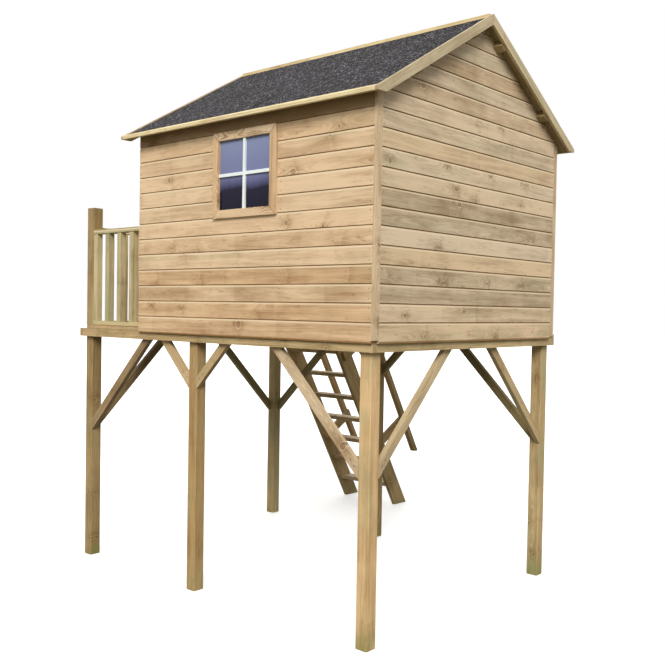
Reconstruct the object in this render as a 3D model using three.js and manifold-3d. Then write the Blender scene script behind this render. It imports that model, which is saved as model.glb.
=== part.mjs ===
// A raised wooden playhouse: a boarded cabin with a gable roof on a platform of six posts, with knee
// braces, a railed porch at one end and a ladder down from the back of the porch.
//
// Millimetres, +Z up. While it is built, X = 0 is the outer face of the plain gable, Y = 0 the outer face
// of the window wall and Z = 0 the ground; the assembly is then moved so that the origin is on the ground
// under the middle of the whole object. The porch is at -X, the window wall at -Y, the ladder at +Y.

import * as THREE from 'three';
import { mergeVertices } from 'three/addons/utils/BufferGeometryUtils.js';
import Module from 'manifold-3d';

const wasm = await Module();
wasm.setup();

// Driving dimensions: clearances and joints
const fitGap = 0.3;
const overrun = 40;
const weld = 1;
const seamWidth = 1.2;

// Driving dimensions: platform
const platformHeight = 1460;
const porchLength = 644;
const rearLedge = 46;
const beamHeight = 50;
const beamThickness = 28;
const joistThickness = 28;
const floorBoardThickness = 18;
const floorBoardPitch = 90;
const floorGrooveDepth = 4;
const floorGrooveWidth = 4;
const deckBoardWidth = 96;
const deckBoardGap = 6;
const deckBoardEase = 2;
const deckSetBack = 10;
const deckPostClearance = 1;
const gableJoistShare = 0.22;
const porchJoistShare = 0.72;

// Driving dimensions: posts and knee braces
const postSize = 70;
const postEase = 4;
const middlePostShare = 0.546;
const porchPostRise = 768;
const braceWidth = 48;
const braceThickness = 28;
const longBraceReach = 600;
const braceTopSpace = 43;
const braceLap = 30;

// Driving dimensions: cabin walls
const cabinLength = 1790;
const cabinDepth = 1740;
const claddingThickness = 16;
const claddingLap = 8;
const boardPitch = 90;
const bottomBoardHeight = 96;
const grooveWidth = 6;
const grooveDepth = 6;
const sideWallHeight = 1162;
const studWidth = 45;
const studDepth = 28;
const cornerTrimWidth = 40;
const cornerTrimLift = 14;

// Driving dimensions: window
const windowWidth = 392;
const windowHeight = 368;
const windowSillHeight = 647;
const windowFromGable = 877;
const windowTrimWidth = 43;
const windowTrimThickness = 16;
const glassThickness = 4;
const glazingBarWidth = 17;
const glazingBarDepth = 10;
const windowRebate = 8;

// Driving dimensions: door
const doorWidth = 520;
const doorHeight = 1130;
const doorSill = 8;
const doorThickness = 16;
const doorStop = 10;
const doorGap = 3;
const doorBoards = 6;
const doorGrooveWidth = 5;
const doorGrooveDepth = 4;
const ledgeWidth = 70;
const ledgeThickness = 20;
const ledgeSetIn = 46;
const ledgeFromEnd = 110;
const doorTrimWidth = 45;

// Driving dimensions: door hinges, knob and turn button
const hingeFromEnd = 145;
const strapLength = 230;
const strapRootHeight = 34;
const strapTipHeight = 16;
const strapThickness = 2.5;
const hingePinRadius = 3;
const hingeBarrelRadius = 6;
const hingeBore = 0.4;
const hingeKnuckle = 26;
const hingeKnuckleGap = 0.6;
const hingePlateWidth = 36;
const knobRadius = 18;
const knobLength = 34;
const knobStemRadius = 9;
const knobHeight = 560;
const knobFromEdge = 44;
const buttonLength = 84;
const buttonWidth = 22;
const buttonThickness = 12;
const buttonHeight = 640;
const screwRadius = 3;
const screwHeadRadius = 6;
const screwHeadHeight = 2.5;
const screwClearance = 0.5;

// Driving dimensions: porch railing
const frontRailHeight = 608;
const endRailLift = 22;
const railThickness = 28;
const railDepth = 45;
const railEase = 3;
const balusterWidth = 40;
const balusterDepth = 36;
const balusterSetBack = 4;
const frontBalusters = 5;
const endBalusters = 14;

// Driving dimensions: ladder
const ladderSideSpace = 47;
const ladderAngle = THREE.MathUtils.degToRad(59.6);
const ladderTreads = 7;
const stringerWidth = 130;
const stringerThickness = 28;
const treadThickness = 28;
const treadDepth = 122;
const treadEase = 3;
const treadHousing = 8;
const strutWidth = 70;
const strutThickness = 22;
const strutSetIn = 28;
const handrailSize = 40;
const handrailOffset = 240;
const handrailFootHeight = 432;
const handrailRise = 608;
const strutHeightShares = [0.384, 0.877];

// Driving dimensions: roof
const roofPitch = THREE.MathUtils.degToRad(30.5);
const eaveOverhang = 87;
const gableOverhang = 68;
const roofBoardThickness = 16;
const roofBoardPitch = 90;
const roofGrooveDepth = 4;
const roofGrooveWidth = 5;
const feltThickness = 3;
const purlinWidth = 45;
const purlinDepth = 36;
const purlinFromRidgeShares = [0.158, 0.678];
const bargeWidth = 48;
const bargeThickness = 16;
const bargeProud = 6;
const eaveBattenHeight = 17;
const eaveBattenThickness = 20;
const ridgeBattenWidth = 40;
const ridgeBattenHeight = 18;

// Facets round the small turned and round pieces
const roundSides = 20;

// Looks, one for each kind of surface
const claddingWood = { color: 0xcdaf82, roughness: 0.78, metalness: 0 };
const gableWood = { color: 0xbfa67e, roughness: 0.8, metalness: 0 };
const frameWood = { color: 0xc2a471, roughness: 0.8, metalness: 0 };
const trimWood = { color: 0xd2bb92, roughness: 0.75, metalness: 0 };
const deckWood = { color: 0xb59a6c, roughness: 0.85, metalness: 0 };
const mineralFelt = { color: 0x4b4a4e, roughness: 0.95, metalness: 0 };
const barPaint = { color: 0xe8e6dd, roughness: 0.5, metalness: 0 };
const zincSteel = { color: 0xa9adb0, roughness: 0.4, metalness: 0.9 };
const clearPane = { color: 0x7d8cab, roughness: 0.08, metalness: 0, transparent: true, opacity: 0.4 };

// Geometry helpers
function span(a, b) {
  return a < b ? [a, b] : [b, a];
}

function block(x, y, z) {
  const geometry = new THREE.BoxGeometry(x[1] - x[0], y[1] - y[0], z[1] - z[0]);
  geometry.translate((x[0] + x[1]) / 2, (y[0] + y[1]) / 2, (z[0] + z[1]) / 2);
  return geometry;
}

// An outline in the plane across one axis, extruded along that axis. Across X its points are (y, z),
// across Y they are (x, z) and across Z they are (x, y).
function prism(outline, axis, from, to) {
  const shape = new THREE.Shape(outline.map(([u, v]) => new THREE.Vector2(u, v)));
  const geometry = new THREE.ExtrudeGeometry(shape, { depth: to - from, bevelEnabled: false });
  const place = new THREE.Matrix4();
  if (axis === 'x') place.set(0, 0, 1, from, 1, 0, 0, 0, 0, 1, 0, 0, 0, 0, 0, 1);
  if (axis === 'y') place.set(1, 0, 0, 0, 0, 0, -1, to, 0, 1, 0, 0, 0, 0, 0, 1);
  if (axis === 'z') place.makeTranslation(0, 0, from);
  return geometry.applyMatrix4(place);
}

// A rectangle with its four corners cut back, for planed timber with eased edges
function easedOutline(u, v, ease) {
  return [
    [u[0] + ease, v[0]],
    [u[1] - ease, v[0]],
    [u[1], v[0] + ease],
    [u[1], v[1] - ease],
    [u[1] - ease, v[1]],
    [u[0] + ease, v[1]],
    [u[0], v[1] - ease],
    [u[0], v[0] + ease],
  ];
}

function toSolid(geometry) {
  const plain = geometry.clone();
  plain.deleteAttribute('normal');
  plain.deleteAttribute('uv');
  const merged = mergeVertices(plain);
  return new wasm.Manifold(new wasm.Mesh({
    numProp: 3,
    vertProperties: new Float32Array(merged.attributes.position.array),
    triVerts: new Uint32Array(merged.index.array),
  }));
}

function toGeometry(solid) {
  const mesh = solid.getMesh();
  const geometry = new THREE.BufferGeometry();
  geometry.setAttribute('position', new THREE.BufferAttribute(new Float32Array(mesh.vertProperties), 3));
  geometry.setIndex(new THREE.BufferAttribute(new Uint32Array(mesh.triVerts), 1));
  geometry.computeVertexNormals();
  return geometry;
}

function joined(geometries) {
  return toGeometry(geometries.map(toSolid).reduce((whole, next) => whole.add(next)));
}

function cutFrom(geometry, cutters) {
  return toGeometry(cutters.map(toSolid).reduce((whole, next) => whole.subtract(next), toSolid(geometry)));
}

function common(geometry, other) {
  return toGeometry(toSolid(geometry).intersect(toSolid(other)));
}

const assembly = new THREE.Group();

function addPiece(name, geometry, look) {
  const mesh = new THREE.Mesh(geometry, new THREE.MeshStandardMaterial(look));
  mesh.name = name;
  assembly.add(mesh);
}

// Faces and levels that several pieces share
const platformRight = -claddingThickness - fitGap;
const cabinLeft = -cabinLength;
const platformLeft = cabinLeft - porchLength;
const platformFront = claddingThickness + fitGap;
const platformRear = cabinDepth + rearLedge;
const beamBottom = platformHeight - beamHeight;
const floorBottom = platformHeight + fitGap;
const deckTop = floorBottom + floorBoardThickness;
const beamInset = beamThickness + fitGap;

// The low corner of each post along X and along Y
const postColumns = {
  porch: platformLeft + beamInset,
  middle: platformRight - middlePostShare * (platformRight - platformLeft) - postSize / 2,
  corner: platformRight - beamInset - postSize,
};
const postRows = {
  front: platformFront + beamInset,
  rear: platformRear - beamInset - postSize,
};

// Posts: those of the porch run up past the deck and carry the railings
function addPosts() {
  for (const [row, y] of Object.entries(postRows)) {
    for (const [column, x] of Object.entries(postColumns)) {
      const top = column === 'porch' ? platformHeight + porchPostRise : platformHeight;
      const outline = easedOutline([x, x + postSize], [y, y + postSize], postEase);
      addPiece(`post_${row}_${column}`, prism(outline, 'z', 0, top), frameWood);
    }
  }
}

// Edge beams: the porch-end beam runs through and the front and rear beams butt against it. At the other
// end these two run through, so that their end grain shows beside the gable-end beam between them.
function addBeams() {
  const z = [beamBottom, platformHeight];
  const lengthwise = [platformLeft + beamInset, platformRight];
  const between = [platformFront + beamInset, platformRear - beamInset];
  const full = [platformFront, platformRear];
  addPiece('beam_porch_end', block([platformLeft, platformLeft + beamThickness], full, z), frameWood);
  addPiece('beam_front', block(lengthwise, [platformFront, platformFront + beamThickness], z), frameWood);
  addPiece('beam_rear', block(lengthwise, [platformRear - beamThickness, platformRear], z), frameWood);
  addPiece('beam_gable_end', block([platformRight - beamThickness, platformRight], between, z), frameWood);
}

// Knee braces: sloping boards from the side of a post up behind a beam, cut plumb at the post and level
// at the top. The short ones take what the long one leaves of the porch's bay. The outline is drawn from
// the post's face outwards.
const porchBay = postColumns.middle - postColumns.porch - postSize;
const shortBraceReach = porchBay - longBraceReach - 2 * braceLap - braceTopSpace;

function braceOutline(face, direction, reach) {
  const plumb = braceWidth * Math.SQRT2;
  const top = beamBottom + braceLap;
  const foot = beamBottom - reach + fitGap;
  const far = reach + braceLap;
  const points = [[fitGap, foot], [far, top], [far - plumb, top], [fitGap, foot + plumb]];
  return points.map(([u, z]) => [face + direction * u, z]);
}

function addLengthwiseBraces() {
  const places = [
    ['porch', 'right', longBraceReach],
    ['middle', 'left', shortBraceReach],
    ['middle', 'right', shortBraceReach],
    ['corner', 'left', longBraceReach],
  ];
  for (const [row, y] of Object.entries(postRows)) {
    const low = row === 'front' ? y : y + postSize - braceThickness;
    for (const [column, side, reach] of places) {
      const direction = side === 'right' ? 1 : -1;
      const face = postColumns[column] + (side === 'right' ? postSize : 0);
      const outline = braceOutline(face, direction, reach);
      addPiece(`brace_${row}_${column}_${side}`, prism(outline, 'y', low, low + braceThickness), frameWood);
    }
  }
}

function addCrosswiseBraces() {
  for (const column of ['porch', 'corner']) {
    const low = postColumns[column] + (column === 'corner' ? postSize - braceThickness : 0);
    for (const row of ['front', 'rear']) {
      const direction = row === 'front' ? 1 : -1;
      const face = postRows[row] + (row === 'front' ? postSize : 0);
      const outline = braceOutline(face, direction, longBraceReach);
      addPiece(`brace_${row}_${column}_cross`, prism(outline, 'x', low, low + braceThickness), frameWood);
    }
  }
}

// Joists under both floors run from the front beam to the rear beam
function joist(center) {
  return block(
    [center - joistThickness / 2, center + joistThickness / 2],
    [platformFront + beamInset, platformRear - beamInset],
    [beamBottom, floorBottom + weld],
  );
}

// Cabin floor: close boards along X with fine V joints on top, nailed on three joists: one near the gable
// end, one between the tops of the knee braces and one against the middle posts
function addCabinFloor() {
  const half = floorGrooveWidth / 2;
  const outline = [[platformRear, floorBottom], [platformFront, floorBottom], [platformFront, deckTop]];
  for (let y = platformFront + floorBoardPitch; y + half < platformRear; y += floorBoardPitch) {
    outline.push([y - half, deckTop], [y, deckTop - floorGrooveDepth], [y + half, deckTop]);
  }
  outline.push([platformRear, deckTop]);
  const boards = prism(outline, 'x', cabinLeft, platformRight);
  const betweenBraces = postColumns.middle + postSize + shortBraceReach + postColumns.corner - longBraceReach;
  const joistCenters = [
    platformRight + gableJoistShare * (cabinLeft - platformRight),
    betweenBraces / 2,
    postColumns.middle - fitGap - joistThickness / 2,
  ];
  addPiece('cabin_floor', joined([boards, ...joistCenters.map(joist)]), deckWood);
}

// Porch deck: open boards along X on two joists, one beside the porch posts and one before the tops of the
// knee braces. The boards that meet a porch post start beside it.
function addPorchDeck() {
  const front = platformFront + deckSetBack;
  const count = Math.round((platformRear - front + deckBoardGap) / (deckBoardWidth + deckBoardGap));
  const pitch = (platformRear - front + deckBoardGap) / count;
  const besidePost = postColumns.porch + postSize;
  const boards = Array.from({ length: count }, (_, i) => {
    const low = front + i * pitch;
    const high = low + pitch - deckBoardGap;
    const meetsPost = Object.values(postRows).some((y) => low < y + postSize && high > y);
    const left = meetsPost ? besidePost + deckPostClearance : postColumns.porch;
    const outline = easedOutline([low, high], [floorBottom, deckTop], deckBoardEase);
    return prism(outline, 'x', left, cabinLeft - fitGap);
  });
  const joistAtPosts = joist(besidePost + fitGap + joistThickness / 2);
  const joistAtBraces = joist(besidePost + porchJoistShare * longBraceReach);
  addPiece('porch_deck', joined([...boards, joistAtPosts, joistAtBraces]), deckWood);
}

// A railing panel: a top rail and a bottom rail along one axis, with square balusters let into both.
// `face` is the panel's outer face and `places` are the balusters' low sides along the panel.
function railing(axis, ends, face, top, places) {
  const depth = [face, face + railDepth];
  const bottom = deckTop + fitGap;
  const rail = (low) => (
    prism(easedOutline(depth, [low, low + railThickness], railEase), axis, ends[0], ends[1])
  );
  const z = [bottom + railThickness - weld, top - railThickness + weld];
  const inDepth = [face + balusterSetBack, face + balusterSetBack + balusterDepth];
  const balusters = places.map((low) => {
    const along = [low, low + balusterWidth];
    return axis === 'x' ? block(along, inDepth, z) : block(inDepth, along, z);
  });
  return joined([rail(top - railThickness), rail(bottom), ...balusters]);
}

function addRailings() {
  const frontEnds = [postColumns.porch + postSize + fitGap, cabinLeft - fitGap];
  const step = (frontEnds[1] - frontEnds[0] - balusterWidth) / (frontBalusters - 1);
  const frontPlaces = Array.from({ length: frontBalusters }, (_, i) => frontEnds[0] + i * step);
  const frontTop = deckTop + frontRailHeight;
  addPiece('railing_front', railing('x', frontEnds, postRows.front, frontTop, frontPlaces), frameWood);

  const rearEnds = [postRows.front + postSize + fitGap, postRows.rear - fitGap];
  const free = rearEnds[1] - rearEnds[0] - endBalusters * balusterWidth;
  const space = free / (endBalusters + 1);
  const endPlaces = Array.from({ length: endBalusters }, (_, i) => (
    rearEnds[0] + space + i * (balusterWidth + space)
  ));
  const endTop = frontTop + endRailLift;
  addPiece('railing_end', railing('y', rearEnds, postColumns.porch, endTop, endPlaces), frameWood);
}

// Roof lines. The roof boards' underside meets the window wall's outer face at the side wall's height;
// `lift` raises a line over that underside, measured plumb.
const slope = Math.tan(roofPitch);
const steep = 1 / Math.cos(roofPitch);
const ridgeY = cabinDepth / 2;
const soffitAtWall = platformHeight + sideWallHeight;
const boardTopLift = roofBoardThickness * steep;
const feltBottomLift = boardTopLift + fitGap;
const feltTopLift = feltBottomLift + feltThickness * steep;
const bargeTopLift = feltTopLift + bargeProud * steep;
const eaveY = -eaveOverhang;
const roofEdgeY = eaveY + eaveBattenThickness + fitGap;
const roofX = [cabinLeft - gableOverhang + bargeThickness + fitGap, gableOverhang - bargeThickness - fitGap];

// The window side's slope, carried on past the ridge and the eave
function slopeLine(y, lift) {
  return soffitAtWall + slope * y + lift;
}

function roofLine(y, lift) {
  return slopeLine(Math.min(y, 2 * ridgeY - y), lift);
}

// A point on the window side's slope, by its distance down from the ridge and above the underside
function onSlope(down, above) {
  return [
    ridgeY - down * Math.cos(roofPitch) - above * Math.sin(roofPitch),
    roofLine(ridgeY, 0) - down * Math.sin(roofPitch) + above * Math.cos(roofPitch),
  ];
}

// A section drawn for the window side, as it is or mirrored to the rear side
function forSide(side, outline) {
  return side === 'front' ? outline : outline.map(([y, z]) => [cabinDepth - y, z]);
}

// Purlins lie square under both slopes. With a clearance, their section is that of the gables' notches.
function purlins(side, clearance) {
  const slopeLength = (ridgeY - roofEdgeY) * steep;
  return purlinFromRidgeShares.map((share) => {
    const down = share * slopeLength;
    const near = down - purlinWidth / 2 - clearance;
    const far = down + purlinWidth / 2 + clearance;
    const under = -purlinDepth - clearance;
    const outline = [onSlope(near, under), onSlope(far, under), onSlope(far, weld), onSlope(near, weld)];
    return prism(forSide(side, outline), 'x', roofX[0], roofX[1]);
  });
}

// Grooved cladding: the section of horizontal boards, with V joints on the outer face
const claddingBottom = platformHeight - claddingLap;
const firstGroove = claddingBottom + bottomBoardHeight;

function claddingSection(inner, outer, bottom, innerTop, outerTop) {
  const inward = Math.sign(inner - outer);
  const half = grooveWidth / 2;
  const outline = [[inner, bottom], [outer, bottom]];
  for (let z = firstGroove; z + half < outerTop; z += boardPitch) {
    if (z - half > bottom) {
      outline.push([outer, z - half], [outer + inward * grooveDepth, z], [outer, z + half]);
    }
  }
  outline.push([outer, outerTop], [inner, innerTop]);
  return outline;
}

// The clear opening of the window
const windowX = [-windowFromGable - windowWidth / 2, -windowFromGable + windowWidth / 2];
const windowZ = [deckTop + windowSillHeight, deckTop + windowSillHeight + windowHeight];

// Side walls stand between the gables' frames and stop under the roof boards
const wallRight = -claddingThickness - fitGap;
const frameLeft = cabinLeft + claddingThickness + fitGap;
const frameRight = wallRight - fitGap;
const soffitGap = -fitGap * steep;

function studs(places, y, z) {
  return places.map((x) => block([x, x + studWidth], y, z));
}

function addWindowWall() {
  const inner = claddingThickness;
  const tops = [roofLine(inner, soffitGap), roofLine(0, soffitGap)];
  const section = claddingSection(inner, 0, claddingBottom, tops[0], tops[1]);
  const frameY = [inner - weld, inner + studDepth];
  const frameZ = [deckTop + fitGap, roofLine(frameY[0], soffitGap)];
  const places = [frameLeft, windowX[0] - studWidth, windowX[1], frameRight - studWidth];
  const rail = (z) => block([frameLeft, frameRight], frameY, [z, z + studWidth]);
  const wall = joined([
    prism(section, 'x', cabinLeft, wallRight),
    ...studs(places, frameY, frameZ),
    rail(frameZ[0]),
    rail(windowZ[0] - studWidth),
    rail(windowZ[1]),
  ]);
  const opening = block(windowX, [-overrun, frameY[1] + overrun], windowZ);
  const rebate = block(
    [windowX[0] - windowRebate, windowX[1] + windowRebate],
    [-overrun, fitGap + glassThickness + fitGap],
    [windowZ[0] - windowRebate, windowZ[1] + windowRebate],
  );
  addPiece('wall_window_side', cutFrom(wall, [opening, rebate]), claddingWood);
}

function addRearWall() {
  const inner = cabinDepth - claddingThickness;
  const bottom = deckTop + fitGap;
  const tops = [roofLine(inner, soffitGap), roofLine(cabinDepth, soffitGap)];
  const section = claddingSection(inner, cabinDepth, bottom, tops[0], tops[1]);
  const frameY = [inner - studDepth, inner + weld];
  const frameZ = [bottom, roofLine(frameY[1], soffitGap)];
  const middle = (frameLeft + frameRight - studWidth) / 2;
  const wall = joined([
    prism(section, 'x', cabinLeft, wallRight),
    ...studs([frameLeft, middle, frameRight - studWidth], frameY, frameZ),
    block([frameLeft, frameRight], frameY, [bottom, bottom + studWidth]),
  ]);
  addPiece('wall_rear', wall, claddingWood);
}

// A region under the roof, as a prism through a gable
function underRoof(y, bottom, lift, x) {
  const outline = [
    [y[0], bottom],
    [y[1], bottom],
    [y[1], roofLine(y[1], lift)],
    [ridgeY, roofLine(ridgeY, lift)],
    [y[0], roofLine(y[0], lift)],
  ];
  return prism(outline, 'x', x[0] - overrun, x[1] + overrun);
}

// A gable: horizontal boards cut to the roof's slopes, studs behind them that stop under the purlins, and
// notches for the purlins
const gableFrameY = [
  claddingThickness + studDepth + 2 * fitGap,
  cabinDepth - claddingThickness - studDepth - 2 * fitGap,
];

function gable(outer, inner, y, bottom, studPlaces) {
  const x = span(inner, outer);
  const peak = roofLine(ridgeY, overrun);
  const section = claddingSection(inner, outer, bottom, peak, peak);
  const boards = common(prism(section, 'y', y[0], y[1]), underRoof(y, bottom, soffitGap, x));
  const inward = Math.sign(inner - outer);
  const frameX = span(inner - inward * weld, inner + inward * studDepth);
  const frameZ = [deckTop + fitGap, peak];
  const uprights = studPlaces.map((low) => block(frameX, [low, low + studWidth], frameZ));
  const sill = block(frameX, gableFrameY, [frameZ[0], frameZ[0] + studWidth]);
  const region = underRoof(gableFrameY, frameZ[0], -purlinDepth * steep - fitGap, frameX);
  const frame = common(joined([...uprights, sill]), region);
  return cutFrom(joined([boards, frame]), [...purlins('front', fitGap), ...purlins('rear', fitGap)]);
}

// The plain gable laps over the platform's end, with a batten up each corner beside its boards
function addPlainGable() {
  const places = [gableFrameY[0], ridgeY - studWidth / 2, gableFrameY[1] - studWidth];
  const boardsY = [cornerTrimWidth - weld, cabinDepth - cornerTrimWidth + weld];
  const boards = gable(0, -claddingThickness, boardsY, claddingBottom, places);
  const battens = [[0, cornerTrimWidth], [cabinDepth - cornerTrimWidth, cabinDepth]].map((y) => {
    const low = claddingBottom + cornerTrimLift;
    const tops = y.map((edge) => roofLine(edge, soffitGap));
    return prism([[y[0], low], [y[1], low], [y[1], tops[1]], [y[0], tops[0]]], 'x', -claddingThickness, 0);
  });
  addPiece('wall_plain_gable', joined([boards, ...battens]), gableWood);
}

// The porch gable stands on the floor between the side walls and holds the doorway, whose edges stop the
// door's leaf
const doorLeafY = [ridgeY - doorWidth / 2, ridgeY + doorWidth / 2];
const doorLeafZ = [deckTop + doorSill, deckTop + doorSill + doorHeight];
const doorwayY = [doorLeafY[0] + doorStop, doorLeafY[1] - doorStop];
const doorwayTop = doorLeafZ[1] - doorStop;

function addPorchGable() {
  const inner = cabinLeft + claddingThickness;
  const y = [claddingThickness + fitGap, cabinDepth - claddingThickness - fitGap];
  const places = [gableFrameY[0], doorwayY[0] - studWidth, doorwayY[1], gableFrameY[1] - studWidth];
  const frameX = [inner - weld, inner + studDepth];
  const headerY = [doorwayY[0] - weld, doorwayY[1] + weld];
  const wall = joined([
    gable(cabinLeft, inner, y, deckTop + fitGap, places),
    block(frameX, headerY, [doorwayTop, doorwayTop + studWidth]),
  ]);
  const doorwayX = [cabinLeft - overrun, frameX[1] + overrun];
  const doorway = block(doorwayX, doorwayY, [deckTop - overrun, doorwayTop]);
  addPiece('wall_porch_gable', cutFrom(wall, [doorway]), gableWood);
}

// Window: four trim boards with mitred corners whose seams show as fine grooves, the pane in the rebate
// behind them and a pale cross in front of it
function mitreSeam(middle, tilt, front) {
  const reach = (windowTrimWidth * Math.SQRT2 + overrun) / 2;
  const half = seamWidth / 2;
  const seam = block([-reach, reach], [front - overrun, front + seamWidth], [-half, half]);
  seam.rotateY(-tilt * Math.PI / 4);
  return seam.translate(middle[0], 0, middle[1]);
}

function addWindow() {
  const outerX = [windowX[0] - windowTrimWidth, windowX[1] + windowTrimWidth];
  const outerZ = [windowZ[0] - windowTrimWidth, windowZ[1] + windowTrimWidth];
  const front = -fitGap - windowTrimThickness;
  const cuts = [block(windowX, [front - overrun, overrun], windowZ)];
  for (const [i, x] of windowX.entries()) {
    for (const [k, z] of windowZ.entries()) {
      const outX = i === 0 ? -1 : 1;
      const outZ = k === 0 ? -1 : 1;
      const middle = [x + (outX * windowTrimWidth) / 2, z + (outZ * windowTrimWidth) / 2];
      cuts.push(mitreSeam(middle, outX * outZ, front));
    }
  }
  addPiece('window_trim', cutFrom(block(outerX, [front, -fitGap], outerZ), cuts), trimWood);

  const lap = windowRebate - fitGap;
  const paneX = [windowX[0] - lap, windowX[1] + lap];
  const paneZ = [windowZ[0] - lap, windowZ[1] + lap];
  addPiece('window_pane', block(paneX, [fitGap, fitGap + glassThickness], paneZ), clearPane);

  const middleX = (windowX[0] + windowX[1]) / 2;
  const middleZ = (windowZ[0] + windowZ[1]) / 2;
  const half = glazingBarWidth / 2;
  const y = [-glazingBarDepth, 0];
  addPiece('window_bars', joined([
    block([middleX - half, middleX + half], y, [windowZ[0] + fitGap, windowZ[1] - fitGap]),
    block([windowX[0] + fitGap, windowX[1] - fitGap], y, [middleZ - half, middleZ + half]),
  ]), barPaint);
}

// Door: upright boards with V joints and three ledges inside, closing against the doorway's edges
const doorBack = cabinLeft - fitGap;
const doorFace = doorBack - doorThickness;
const onDoorFace = doorFace - fitGap;

function addDoor() {
  const half = doorGrooveWidth / 2;
  const outline = [[doorBack, doorLeafY[1]], [doorBack, doorLeafY[0]], [doorFace, doorLeafY[0]]];
  for (let i = 1; i < doorBoards; i += 1) {
    const y = doorLeafY[0] + (i * doorWidth) / doorBoards;
    outline.push([doorFace, y - half], [doorFace + doorGrooveDepth, y], [doorFace, y + half]);
  }
  outline.push([doorFace, doorLeafY[1]]);
  const middle = (doorLeafZ[0] + doorLeafZ[1]) / 2;
  const ledges = [doorLeafZ[0] + ledgeFromEnd, middle, doorLeafZ[1] - ledgeFromEnd].map((z) => block(
    [doorBack - weld, doorBack + ledgeThickness],
    [doorLeafY[0] + ledgeSetIn, doorLeafY[1] - ledgeSetIn],
    [z - ledgeWidth / 2, z + ledgeWidth / 2],
  ));
  const boards = prism(outline, 'z', doorLeafZ[0], doorLeafZ[1]);
  addPiece('door_leaf', joined([boards, ...ledges]), trimWood);
}

// Round bars: upright at one place, or lying along X
function uprightBar(radius, x, y, z) {
  const geometry = new THREE.CylinderGeometry(radius, radius, z[1] - z[0], roundSides);
  geometry.rotateX(Math.PI / 2);
  return geometry.translate(x, y, (z[0] + z[1]) / 2);
}

function lyingBar(radius, x, y, z) {
  const geometry = new THREE.CylinderGeometry(radius, radius, x[1] - x[0], roundSides);
  geometry.rotateZ(Math.PI / 2);
  return geometry.translate((x[0] + x[1]) / 2, y, z);
}

// Door trim round three sides of the leaf, with the screw on which the turn button turns
const trimInsideY = [doorLeafY[0] - doorGap, doorLeafY[1] + doorGap];
const trimOutsideY = [trimInsideY[0] - doorTrimWidth, trimInsideY[1] + doorTrimWidth];
const buttonY = trimInsideY[1] + doorTrimWidth / 2;
const buttonZ = deckTop + buttonHeight;
const buttonX = [onDoorFace - buttonThickness, onDoorFace];

function addDoorTrim() {
  const low = deckTop + fitGap;
  const insideTop = doorLeafZ[1] + doorGap;
  const outsideTop = insideTop + doorTrimWidth;
  const outline = [
    [trimOutsideY[0], low],
    [trimInsideY[0], low],
    [trimInsideY[0], insideTop],
    [trimInsideY[1], insideTop],
    [trimInsideY[1], low],
    [trimOutsideY[1], low],
    [trimOutsideY[1], outsideTop],
    [trimOutsideY[0], outsideTop],
  ];
  const headBack = buttonX[0] - screwClearance;
  addPiece('door_trim', joined([
    prism(outline, 'x', doorFace, doorBack),
    lyingBar(screwRadius, [headBack - weld, doorFace + weld], buttonY, buttonZ),
    lyingBar(screwHeadRadius, [headBack - screwHeadHeight, headBack], buttonY, buttonZ),
  ]), trimWood);
}

// Turn button: a rounded wooden slip, upright when it is turned out of the door's way
function addTurnButton() {
  const radius = buttonWidth / 2;
  const reach = buttonLength / 2 - radius;
  const steps = roundSides / 2;
  const outline = [];
  for (const end of [1, -1]) {
    for (let i = 0; i <= steps; i += 1) {
      const angle = (i / steps) * Math.PI;
      outline.push([
        buttonY + end * radius * Math.cos(angle),
        buttonZ + end * (reach + radius * Math.sin(angle)),
      ]);
    }
  }
  const bore = [buttonX[0] - overrun, buttonX[1] + overrun];
  const slip = prism(outline, 'x', buttonX[0], buttonX[1]);
  const hole = lyingBar(screwRadius + screwClearance, bore, buttonY, buttonZ);
  addPiece('turn_button', cutFrom(slip, [hole]), trimWood);
}

// Strap hinges: the strap and its middle knuckle turn with the door; the plate on the trim carries the
// outer knuckles and the pin, which stands just outside the gap beside the leaf
const pinX = onDoorFace - hingeBarrelRadius;
const pinY = doorLeafY[0] - doorGap / 2;

function addHinge(name, z) {
  const plateX = [onDoorFace - strapThickness, onDoorFace];
  const half = hingeKnuckle / 2;
  const root = pinY + hingePinRadius;
  const neck = root + strapRootHeight / 2;
  const tip = pinY + strapLength;
  const outline = [
    [root, z - half],
    [neck, z - strapRootHeight / 2],
    [tip - strapTipHeight / 2, z - strapTipHeight / 2],
    [tip, z],
    [tip - strapTipHeight / 2, z + strapTipHeight / 2],
    [neck, z + strapRootHeight / 2],
    [root, z + half],
  ];
  const strap = joined([
    prism(outline, 'x', plateX[0], plateX[1]),
    uprightBar(hingeBarrelRadius, pinX, pinY, [z - half, z + half]),
  ]);
  const bore = uprightBar(hingePinRadius + hingeBore, pinX, pinY, [z - half - overrun, z + half + overrun]);
  addPiece(`hinge_${name}_strap`, cutFrom(strap, [bore]), zincSteel);

  const inner = half + hingeKnuckleGap;
  const reach = inner + hingeKnuckle;
  const plate = block(plateX, [pinY - hingePlateWidth, pinY - hingePinRadius], [z - reach, z + reach]);
  const relief = block(
    [pinX - overrun, pinX + overrun],
    [pinY - hingeBarrelRadius - hingeKnuckleGap, pinY + overrun],
    [z - inner, z + inner],
  );
  addPiece(`hinge_${name}_plate`, joined([
    cutFrom(plate, [relief]),
    uprightBar(hingeBarrelRadius, pinX, pinY, [z - reach, z - inner]),
    uprightBar(hingeBarrelRadius, pinX, pinY, [z + inner, z + reach]),
    uprightBar(hingePinRadius, pinX, pinY, [z - reach, z + reach]),
  ]), zincSteel);
}

function addHinges() {
  addHinge('lower', doorLeafZ[0] + hingeFromEnd);
  addHinge('upper', doorLeafZ[1] - hingeFromEnd);
}

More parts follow.
